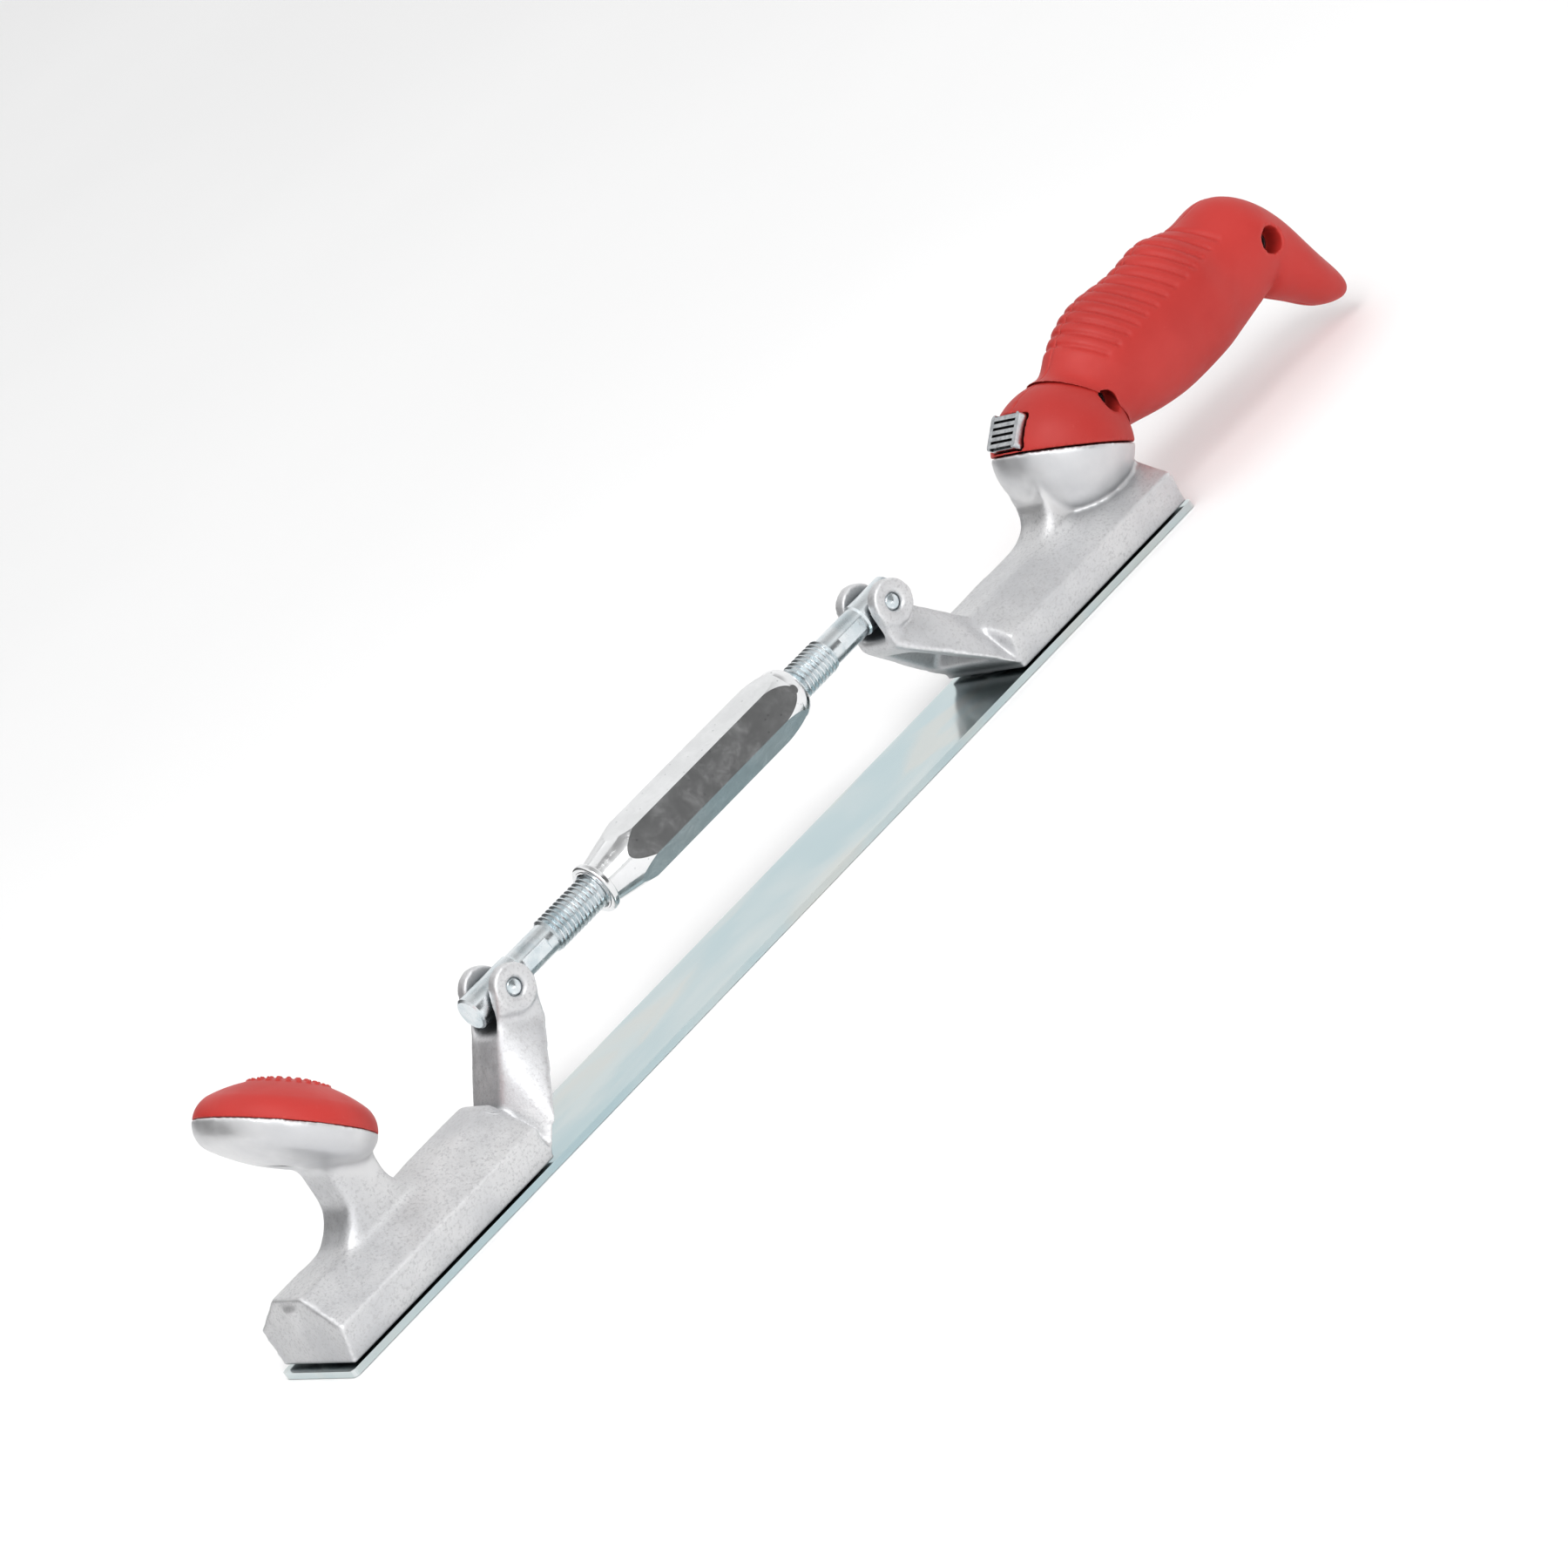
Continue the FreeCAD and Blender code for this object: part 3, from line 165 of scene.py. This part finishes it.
# Width in millimetres of the eased edges of the nodes that keep their CAD mesh.
EASED = {
    "turnbuckle_sleeve": 0.25,
    "marking_ring": 0.1,
    "release_button": 0.15,
    "front_pivot_pin": 0.2,
    "rear_pivot_pin": 0.2,
}
EASED_ANGLE = 0.5


# ---------------------------------------------------------------- node helpers


class Graph:
    """A material's node tree, with short calls for the nodes that the finishes use."""

    def __init__(self, name):
        self.material = bpy.data.materials.new(name)
        self.material.use_nodes = True
        self.tree = self.material.node_tree
        self.shader = self.tree.nodes["Principled BSDF"]
        self.place = self.new("ShaderNodeTexCoord").outputs["Object"]

    def new(self, kind, **settings):
        node = self.tree.nodes.new(kind)
        for key, given in settings.items():
            setattr(node, key, given)
        return node

    def join(self, source, target):
        self.tree.links.new(source, target)

    def feed(self, node, **sockets):
        """Sets or links the named inputs of a node; underscores stand for spaces."""
        for key, given in sockets.items():
            socket = node.inputs[key.replace("_", " ")]
            if isinstance(given, bpy.types.NodeSocket):
                self.join(given, socket)
            else:
                socket.default_value = given
        return node

    def stretched(self, scale):
        """The object's coordinates, scaled along each axis."""
        node = self.new("ShaderNodeMapping")
        node.inputs["Scale"].default_value = scale
        self.join(self.place, node.inputs["Vector"])
        return node.outputs["Vector"]

    def noise(self, size, detail=3.0, rough=0.5, vector=None, warp=0.0):
        """Noise whose features are about size metres across."""
        node = self.new("ShaderNodeTexNoise")
        self.feed(node, Vector=vector or self.place, Scale=1.0 / size)
        self.feed(node, Detail=detail, Roughness=rough, Distortion=warp)
        return node.outputs["Fac"]

    def cells(self, size):
        """Distance to scattered points about size metres apart."""
        node = self.new("ShaderNodeTexVoronoi", feature="F1")
        self.feed(node, Vector=self.place, Scale=1.0 / size)
        return node.outputs["Distance"]

    def spread(self, value, low, high, out_low=0.0, out_high=1.0):
        """value taken from low..high to out_low..out_high, clamped."""
        node = self.new("ShaderNodeMapRange", interpolation_type="SMOOTHSTEP")
        limits = {"From Min": low, "From Max": high, "To Min": out_low, "To Max": out_high}
        for key, given in limits.items():
            node.inputs[key].default_value = given
        self.join(value, node.inputs["Value"])
        return node.outputs["Result"]

    def fill(self, sockets, values):
        """Links or sets each socket in turn."""
        for socket, given in zip(sockets, values):
            if isinstance(given, bpy.types.NodeSocket):
                self.join(given, socket)
            else:
                socket.default_value = given

    def maths(self, operation, first, second=0.0):
        node = self.new("ShaderNodeMath", operation=operation)
        self.fill(node.inputs, (first, second))
        return node.outputs["Value"]

    def vector_maths(self, operation, first, second):
        node = self.new("ShaderNodeVectorMath", operation=operation)
        self.join(first, node.inputs[0])
        node.inputs[1].default_value = second
        return node.outputs["Value" if operation in ("DISTANCE", "DOT_PRODUCT") else "Vector"]

    def blend(self, amount, first, second):
        """A colour between first and second, through the sockets that the node keeps for colours."""
        node = self.new("ShaderNodeMix", data_type="RGBA")
        self.fill((node.inputs[0], node.inputs[6], node.inputs[7]), (amount, first, second))
        return node.outputs[2]

    def worn(self, tone, low, high, share, colour):
        """The tone with a share of another colour on its convex edges."""
        edges = self.spread(self.new("ShaderNodeNewGeometry").outputs["Pointiness"], low, high)
        return self.blend(self.maths("MULTIPLY", edges, share), tone, colour)

    def shaded(self, tone, distance, low, high, colour):
        """The tone with another colour painted as shade in nooks that are closed within a distance."""
        nook = self.new("ShaderNodeAmbientOcclusion", samples=8)
        nook.inputs["Distance"].default_value = distance
        return self.blend(self.spread(nook.outputs["AO"], low, high), colour, tone)

    def relief(self, height, strength, distance, normal=None):
        """A bumped normal, on top of another one where it is given."""
        node = self.new("ShaderNodeBump")
        self.feed(node, Height=height, Strength=strength, Distance=distance)
        if normal is not None:
            self.join(normal, node.inputs["Normal"])
        return node.outputs["Normal"]

    def finish(self, colour, roughness, normal, **constants):
        """Feeds the shader and returns the material; underscores stand for spaces."""
        for key, given in (("Base Color", colour), ("Roughness", roughness), ("Normal", normal)):
            self.join(given, self.shader.inputs[key])
        for key, given in constants.items():
            self.shader.inputs[key.replace("_", " ")].default_value = given
        return self.material


def grey(level, tint=0.0):
    """A grey, slightly blue where tint is positive."""
    return (level * (1.0 - tint), level, level * (1.0 + tint), 1.0)


# ---------------------------------------------------------------- materials


def on_bowl(g):
    """1 on the bowl of the knob and 0 on the rest of its casting."""
    centre = KNOB_CENTRE * MM
    above = g.vector_maths("DOT_PRODUCT", g.vector_maths("SUBTRACT", g.place, centre), KNOB_AXIS)
    near = g.spread(g.vector_maths("DISTANCE", g.place, centre), 0.0250, 0.0265, 1.0, 0.0)
    return g.maths("MULTIPLY", near, g.spread(above, -0.0125, -0.0095))


def on_ball(g):
    """1 on the ball of the handle seat and 0 on the rest of its casting."""
    reach = g.vector_maths("DISTANCE", g.place, BALL_CENTRE * MM)
    return g.spread(reach, 0.0200, 0.0212, 1.0, 0.0)


def cast_metal(name, polish, marks):
    """Aluminium casting: sandy skin with polished places, painted shade in its hollows and faint ejector
    rings.
    """
    g = Graph(name)
    polished = polish(g)
    rough_skin = g.maths("SUBTRACT", 1.0, polished)
    cloud = g.noise(0.022, 4.0, 0.6)
    blotch = g.noise(0.004, 3.0, 0.6)
    tone = g.blend(g.spread(cloud, 0.3, 0.7), (0.57, 0.575, 0.59, 1), (0.67, 0.67, 0.675, 1))
    speckle = g.spread(g.noise(0.0008, 2.0, 0.7), 0.30, 0.52)
    speckled = g.blend(speckle, (0.51, 0.51, 0.52, 1), tone)
    tone = g.blend(rough_skin, tone, speckled)
    tone = g.worn(tone, 0.51, 0.56, 0.55, (0.84, 0.84, 0.85, 1))
    # Painted shade: the tone goes to near black in hollows closed within 12 mm.
    tone = g.shaded(tone, 0.012, 0.15, 0.75, (0.09, 0.10, 0.11, 1))
    roughness = g.spread(blotch, 0.3, 0.7, 0.42, 0.54)
    roughness = g.maths("MULTIPLY", roughness, g.spread(polished, 0.0, 1.0, 1.0, 0.80))
    sand = g.spread(polished, 0.0, 1.0, 0.5, 0.06)
    grain = g.spread(polished, 0.0, 1.0, 0.30, 0.08)
    skin = g.relief(g.noise(0.00055, 3.0, 0.65), sand, 0.00010)
    skin = g.relief(g.noise(0.0020, 3.0, 0.6), grain, 0.00018, skin)
    skin = g.relief(g.noise(0.012, 2.0, 0.5), 0.25, 0.0006, skin)
    for along, up in marks:
        flat = g.vector_maths("MULTIPLY", g.place, (1.0, 0.0, 1.0))
        reach = g.vector_maths("DISTANCE", flat, (along * MM, 0.0, up * MM))
        off = g.maths("ABSOLUTE", g.maths("SUBTRACT", reach, MARK_RADIUS))
        skin = g.relief(g.spread(off, 0.0, MARK_LINE, 1.0, 0.0), 0.5, 0.00012, skin)
    return g.finish(tone, roughness, skin, Metallic=0.76, Specular_IOR_Level=0.5)


def moulded_red(name):
    """Satin red moulded plastic with a fine spark-eroded grain, rubbed spots and paler edges."""
    g = Graph(name)
    cloud = g.spread(g.noise(0.03, 3.0, 0.5), 0.3, 0.7)
    tone = g.blend(cloud, (0.405, 0.019, 0.014, 1), (0.475, 0.026, 0.020, 1))
    tone = g.worn(tone, 0.51, 0.58, 0.35, (0.58, 0.07, 0.055, 1))
    dust = g.spread(g.noise(0.0016, 4.0, 0.75), 0.62, 0.8)
    tone = g.blend(g.maths("MULTIPLY", dust, 0.25), tone, (0.54, 0.10, 0.085, 1))
    rubbed = g.noise(0.018, 4.0, 0.6, warp=0.4)
    roughness = g.spread(rubbed, 0.3, 0.72, 0.47, 0.60)
    skin = g.relief(g.noise(0.0005, 2.0, 0.6), 0.22, 0.00006)
    skin = g.relief(g.noise(0.006, 2.0, 0.5), 0.12, 0.0003, skin)
    return g.finish(
        tone,
        roughness,
        skin,
        Specular_IOR_Level=0.42,
        Subsurface_Weight=0.04,
        Subsurface_Scale=0.002,
        Subsurface_Radius=(1.0, 0.25, 0.15),
    )


def zinc_sheet(name):
    """Bright zinc-plated strip: pale blue, faint warm stains and lengthwise rolling lines."""
    g = Graph(name)
    stain = g.noise(0.035, 3.0, 0.5, g.stretched((0.5, 1.0, 1.0)), 0.6)
    tone = g.blend(g.spread(stain, 0.35, 0.62), (0.42, 0.54, 0.57, 1), (0.53, 0.60, 0.605, 1))
    warm = g.spread(g.noise(0.028, 2.0, 0.5, g.stretched((0.6, 1.2, 1.0)), 0.8), 0.52, 0.7)
    tone = g.blend(g.maths("MULTIPLY", warm, 0.5), tone, (0.60, 0.58, 0.535, 1))
    tone = g.worn(tone, 0.52, 0.6, 0.5, (0.83, 0.85, 0.86, 1))
    lines = g.noise(0.0005, 2.0, 0.6, g.stretched((0.012, 1.0, 1.0)))
    roughness = g.spread(g.noise(0.02, 4.0, 0.6), 0.3, 0.7, 0.10, 0.19)
    skin = g.relief(lines, 0.10, 0.00003)
    skin = g.relief(g.noise(0.03, 2.0, 0.4), 0.10, 0.0006, skin)
    return g.finish(tone, roughness, skin, Metallic=1.0)


def bright_chrome(name):
    """Polished chrome with cloudy smears, tiny pits and fine buffing lines."""
    g = Graph(name)
    cloud = g.spread(g.noise(0.01, 3.0, 0.6), 0.3, 0.7)
    tone = g.blend(cloud, grey(0.74, 0.01), grey(0.84, 0.01))
    pits = g.spread(g.cells(0.0022), 0.06, 0.14)
    tone = g.blend(pits, grey(0.55, 0.02), tone)
    smear = g.noise(0.005, 5.0, 0.7, warp=0.6)
    roughness = g.spread(smear, 0.35, 0.7, 0.07, 0.24)
    buffed = g.noise(0.0006, 2.0, 0.6, g.stretched((0.04, 1.0, 1.0)))
    skin = g.relief(buffed, 0.05, 0.00003)
    skin = g.relief(g.noise(0.0025, 4.0, 0.6), 0.16, 0.0001, skin)
    return g.finish(tone, roughness, skin, Metallic=1.0)


def ribbed_chrome(name):
    """Chrome of the release button, dulled, with painted shade in the valleys between its ribs."""
    g = Graph(name)
    cloud = g.spread(g.noise(0.002, 3.0, 0.6), 0.3, 0.7)
    tone = g.blend(cloud, grey(0.52, 0.04), grey(0.70, 0.03))
    # Painted shade: the valleys between the ribs go to near black.
    tone = g.shaded(tone, 0.0012, 0.35, 0.95, grey(0.05, 0.06))
    roughness = g.spread(g.noise(0.0015, 3.0, 0.6), 0.3, 0.7, 0.14, 0.26)
    skin = g.relief(g.noise(0.0008, 3.0), 0.12, 0.00005)
    return g.finish(tone, roughness, skin, Metallic=1.0)


def plated_steel(name):
    """Blue-white zinc plating over turned and threaded steel."""
    g = Graph(name)
    cloud = g.spread(g.noise(0.006, 3.0, 0.6), 0.35, 0.65)
    tone = g.blend(cloud, (0.56, 0.63, 0.66, 1), (0.72, 0.76, 0.78, 1))
    tone = g.worn(tone, 0.52, 0.62, 0.5, (0.86, 0.89, 0.91, 1))
    turned = g.noise(0.0004, 2.0, 0.6, g.stretched((1.0, 0.08, 0.08)))
    roughness = g.spread(g.noise(0.004, 3.0, 0.6), 0.3, 0.7, 0.20, 0.32)
    skin = g.relief(turned, 0.08, 0.00003)
    return g.finish(tone, roughness, skin, Metallic=1.0)


def black_oxide(name):
    """Oiled black-oxide socket screws with bare metal showing on the edges."""
    g = Graph(name)
    cloud = g.spread(g.noise(0.002, 3.0, 0.6), 0.35, 0.65)
    tone = g.blend(cloud, grey(0.045, 0.05), grey(0.085, 0.04))
    tone = g.worn(tone, 0.52, 0.62, 0.6, grey(0.32, 0.02))
    roughness = g.spread(g.noise(0.0015, 3.0, 0.6), 0.3, 0.7, 0.30, 0.45)
    skin = g.relief(g.noise(0.0004, 2.0), 0.15, 0.00004)
    return g.finish(tone, roughness, skin, Metallic=0.85)


def studio_floor(name):
    """Matt pale paper sweep with a barely visible tooth."""
    g = Graph(name)
    tone = g.blend(g.spread(g.noise(0.3, 3.0, 0.5), 0.3, 0.7), grey(0.94), grey(0.96))
    roughness = g.spread(g.noise(0.02), 0.3, 0.7, 0.75, 0.85)
    return g.finish(tone, roughness, g.relief(g.noise(0.0012), 0.05, 0.0001))


FINISHES = {
    "red_plastic": moulded_red("moulded_red"),
    "zinc_strip": zinc_sheet("zinc_sheet"),
    "bright_chrome": bright_chrome("bright_chrome"),
    "plated_steel": plated_steel("plated_steel"),
    "dark_screws": black_oxide("black_oxide"),
}
BUTTON_FINISH = ribbed_chrome("ribbed_chrome")
SLOT_OF = {entry["node"]: entry["material_slot"] for entry in frame["record"]["subparts"]}


def paint(piece, material):
    """Gives a piece one material."""
    piece.data.materials.clear()
    piece.data.materials.append(material)


# ---------------------------------------------------------------- surfaces


def copied(node, name):
    """A welded copy of a CAD node's mesh as a free piece."""
    mesh = nodes[node].data.copy()
    piece = bpy.data.objects.new(name, mesh)
    bpy.context.scene.collection.objects.link(piece)
    piece.matrix_world = nodes[node].matrix_world.copy()
    work = bmesh.new()
    work.from_mesh(mesh)
    bmesh.ops.remove_doubles(work, verts=work.verts, dist=WELD)
    work.to_mesh(mesh)
    work.free()
    return piece


def settled(piece):
    """Works the modifiers of a piece into its mesh."""
    graph = bpy.context.evaluated_depsgraph_get()
    mesh = bpy.data.meshes.new_from_object(piece.evaluated_get(graph))
    piece.modifiers.clear()
    piece.data = mesh


def ramp(value, band):
    """0 before the band and 1 after it."""
    start, stop = band
    return min(max((value - start) / (stop - start), 0.0), 1.0)


def weigh(piece, name, weight):
    """Adds a vertex group whose weights come from each point's place, in millimetres."""
    group = piece.vertex_groups.new(name=name)
    for vertex in piece.data.vertices:
        group.add([vertex.index], weight(vertex.co / MM), "REPLACE")


def tucked(spot):
    """A point of the handle skin, its collar drawn in onto the ball so that it starts flush."""
    arm = spot - BALL_CENTRE
    reach = arm.length
    past = (arm.dot(COLLAR_NORMAL) - COLLAR_REACH) / COLLAR_RUN
    flush = BALL_RADIUS + COLLAR_LIP
    if reach <= flush or not COLLAR_BACK < past < 1.0:
        return spot
    past = max(past, 0.0)
    share = COLLAR_SHARE + (1.0 - COLLAR_SHARE) * past * past * (3.0 - 2.0 * past)
    return BALL_CENTRE + arm * ((flush + (reach - flush) * share) / reach)


def softened(node, voxel, material, ease, shift=None):
    """A cast or moulded skin for a CAD node: the same shape with its edges and corners rounded.

    ease lists (vertex group, weight function, smoothing passes); a group without a name or
    weight is the whole skin. shift moves each point, in millimetres, before the smoothing.
    """
    piece = copied(node, node + "_skin")
    shell = piece.modifiers.new("shell", "REMESH")
    shell.mode = "VOXEL"
    shell.voxel_size = voxel * MM
    shell.use_smooth_shade = True
    settled(piece)
    if shift is not None:
        for vertex in piece.data.vertices:
            vertex.co = shift(vertex.co / MM) * MM
    for group, weight, count in ease:
        if weight is not None:
            weigh(piece, group, weight)
        relax = piece.modifiers.new("relax_" + group, "SMOOTH")
        relax.factor = 0.5
        relax.iterations = count
        relax.vertex_group = group
    settled(piece)
    piece.data.shade_smooth()
    paint(piece, material)
    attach(piece, body_of(nodes[node])[0])
    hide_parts(node)


def above_rim(spot):
    """The lower rim stays crisp, for the dark line between casting and strip."""
    return ramp(spot.z, RIM_BAND)


def on_stem(spot):
    """The front column, from the shoe up to the bowl of the knob."""
    below_seat = ramp((KNOB_CENTRE - spot).dot(KNOB_AXIS), STEM_START_BAND)
    beside = ramp(STEM_REACH - abs(spot.x - STEM_MIDDLE), (0.0, COLUMN_FADE))
    return below_seat * ramp(spot.z, SHOE_TOP_BAND) * beside


def on_neck(spot):
    """The rear column, from the shoe up to the ball but not on the ball itself."""
    off_ball = ramp((spot - BALL_CENTRE).length, BALL_BAND)
    beside = ramp(NECK_REACH - abs(spot.x - NECK_MIDDLE), (0.0, COLUMN_FADE))
    return off_ball * ramp(spot.z, SHOE_TOP_BAND) * beside


def on_arm(side):
    """A weight for the arm between the shoe and its pivot, clear of the discs of the ears."""
    pivot = PIVOTS[side]

    def weight(spot):
        off_disc = ramp((Vector((spot.x, 0.0, spot.z)) - pivot).length, EAR_BAND)
        inwards = ramp(abs(pivot.x) + ARM_REACH - abs(spot.x), (0.0, ARM_FADE))
        return off_disc * inwards * ramp(spot.z, ARM_FOOT_BAND)

    return weight


for side, column, polish in (("front", on_stem, on_bowl), ("rear", on_neck, on_ball)):
    shoe = side + "_shoe"
    casting = cast_metal("casting_" + shoe, polish, EJECTOR_MARKS[shoe])
    softened(shoe, CASTING_VOXEL, casting, (
        ("above_rim", above_rim, CASTING_PASSES),
        ("column", column, COLUMN_PASSES),
        ("arm", on_arm(side), ARM_PASSES),
    ))
for half in ("handle_left", "handle_right"):
    softened(half, HANDLE_VOXEL, FINISHES["red_plastic"], (("", None, HANDLE_PASSES),), tucked)
softened("knob_pad", PAD_VOXEL, FINISHES["red_plastic"], (("", None, PAD_PASSES),))

# The strip bends with the link, so it is one piece that blends between the two castings.
strip = copied("spring_strip", "strip_surface")
low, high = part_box("spring_strip")
work = bmesh.new()
work.from_mesh(strip.data)
for index in range(1, STRIP_SLICES):
    along = low[0] + (high[0] - low[0]) * index / STRIP_SLICES
    geometry = work.verts[:] + work.edges[:] + work.faces[:]
    bmesh.ops.bisect_plane(work, geom=geometry, plane_co=(along, 0, 0), plane_no=(1, 0, 0))
work.to_mesh(strip.data)
work.free()
rounding = strip.modifiers.new("rounding", "BEVEL")
rounding.width = STRIP_ROUNDING
rounding.segments = 2
rounding.limit_method = "ANGLE"
settled(strip)
paint(strip, FINISHES["zinc_strip"])
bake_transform(strip, "front", "rear", start=(-95 * MM, 0, MM), end=(101.5 * MM, 0, MM))
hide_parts("spring_strip")

# The other CAD nodes keep their shape and take a finish, some with their sharp edges eased.
for name, node in nodes.items():
    if node.hide_render:
        continue
    paint(node, BUTTON_FINISH if name == "release_button" else FINISHES[SLOT_OF[name]])
    if name in EASED:
        easing = node.modifiers.new("easing", "BEVEL")
        easing.width = EASED[name] * MM
        easing.segments = 2
        easing.limit_method = "ANGLE"
        easing.angle_limit = EASED_ANGLE

# ---------------------------------------------------------------- studio

BACK = Quaternion(CAMERA_TURN) @ Vector((0, 0, 1))
RIGHT = Quaternion(CAMERA_TURN) @ Vector((1, 0, 0))
UP = Quaternion(CAMERA_TURN) @ Vector((0, 1, 0))
MIDDLE = (Vector(cad_box[0]) + Vector(cad_box[1])) / 2


def plane(name, side, place):
    """A square sheet of that side."""
    half = side / 2
    mesh = bpy.data.meshes.new(name)
    corners = [(-half, -half, 0), (half, -half, 0), (half, half, 0), (-half, half, 0)]
    mesh.from_pydata(corners, [], [(0, 1, 2, 3)])
    sheet = bpy.data.objects.new(name, mesh)
    sheet.location = place
    bpy.context.scene.collection.objects.link(sheet)
    return sheet


floor = plane("floor", FLOOR_SIDE, (0, 0, cad_box[0][2] - FLOOR_GAP))
paint(floor, studio_floor("paper_sweep"))


def softbox(name, towards, distance, side, power):
    """A square area light of that side, facing the middle of the object."""
    light = bpy.data.lights.new(name, "AREA")
    light.shape = "SQUARE"
    light.size = side
    light.energy = power
    lamp = bpy.data.objects.new(name, light)
    direction = Vector(towards).normalized()
    lamp.location = MIDDLE + direction * distance
    lamp.rotation_mode = "QUATERNION"
    lamp.rotation_quaternion = direction.to_track_quat("Z", "Y")
    bpy.context.scene.collection.objects.link(lamp)


softbox("key", BACK * 0.75 + UP * 0.5 - RIGHT * 0.4, 1.5, 0.7, 8)
softbox("fill", (-0.2, -0.85, 0.45), 1.6, 0.9, 5)
softbox("overhead", (-0.25, 0.35, 1.0), 3.5, 4.0, 30)

world = bpy.data.worlds.new("studio")
world.use_nodes = True
tree = world.node_tree
sky = tree.nodes["Background"]
looking = tree.nodes.new("ShaderNodeTexCoord").outputs["Generated"]


def toned(towards, low, high, out_low, out_high):
    """World brightness that changes with the angle to a direction."""
    facing = tree.nodes.new("ShaderNodeVectorMath")
    facing.operation = "DOT_PRODUCT"
    facing.inputs[1].default_value = Vector(towards).normalized()
    tree.links.new(looking, facing.inputs[0])
    shade = tree.nodes.new("ShaderNodeMapRange")
    shade.interpolation_type = "SMOOTHSTEP"
    settings = {"From Min": low, "From Max": high, "To Min": out_low, "To Max": out_high}
    for key, given in settings.items():
        shade.inputs[key].default_value = given
    tree.links.new(facing.outputs["Value"], shade.inputs["Value"])
    return shade.outputs["Result"]


def times(first, second):
    """The product of two world tones."""
    product = tree.nodes.new("ShaderNodeMath")
    product.operation = "MULTIPLY"
    tree.links.new(first, product.inputs[0])
    tree.links.new(second, product.inputs[1])
    return product.outputs["Value"]


# The object is lit by the toned world, and the backdrop behind the floor is one plain tone.
surround = times(times(toned(*DIM_ZENITH), toned(*DARK_CARD)), toned(*DARK_WALL))
backdrop = tree.nodes.new("ShaderNodeMix")
backdrop.inputs["B"].default_value = BACKDROP_TONE
seen = tree.nodes.new("ShaderNodeLightPath").outputs["Is Camera Ray"]
tree.links.new(seen, backdrop.inputs["Factor"])
tree.links.new(surround, backdrop.inputs["A"])
tree.links.new(backdrop.outputs["Result"], sky.inputs["Color"])
sky.inputs["Strength"].default_value = WORLD_STRENGTH
bpy.context.scene.world = world

camera = bpy.data.objects.new("camera", bpy.data.cameras.new("camera"))
camera.data.lens = CAMERA_LENS
camera.data.sensor_width = CAMERA_SENSOR
camera.location = CAMERA_PLACE
camera.rotation_mode = "QUATERNION"
camera.rotation_quaternion = CAMERA_TURN
camera.data.clip_end = CAMERA_FAR
bpy.context.scene.collection.objects.link(camera)
bpy.context.scene.camera = camera
bpy.context.scene.view_settings.view_transform = "Standard"
bpy.context.scene.view_settings.look = "None"
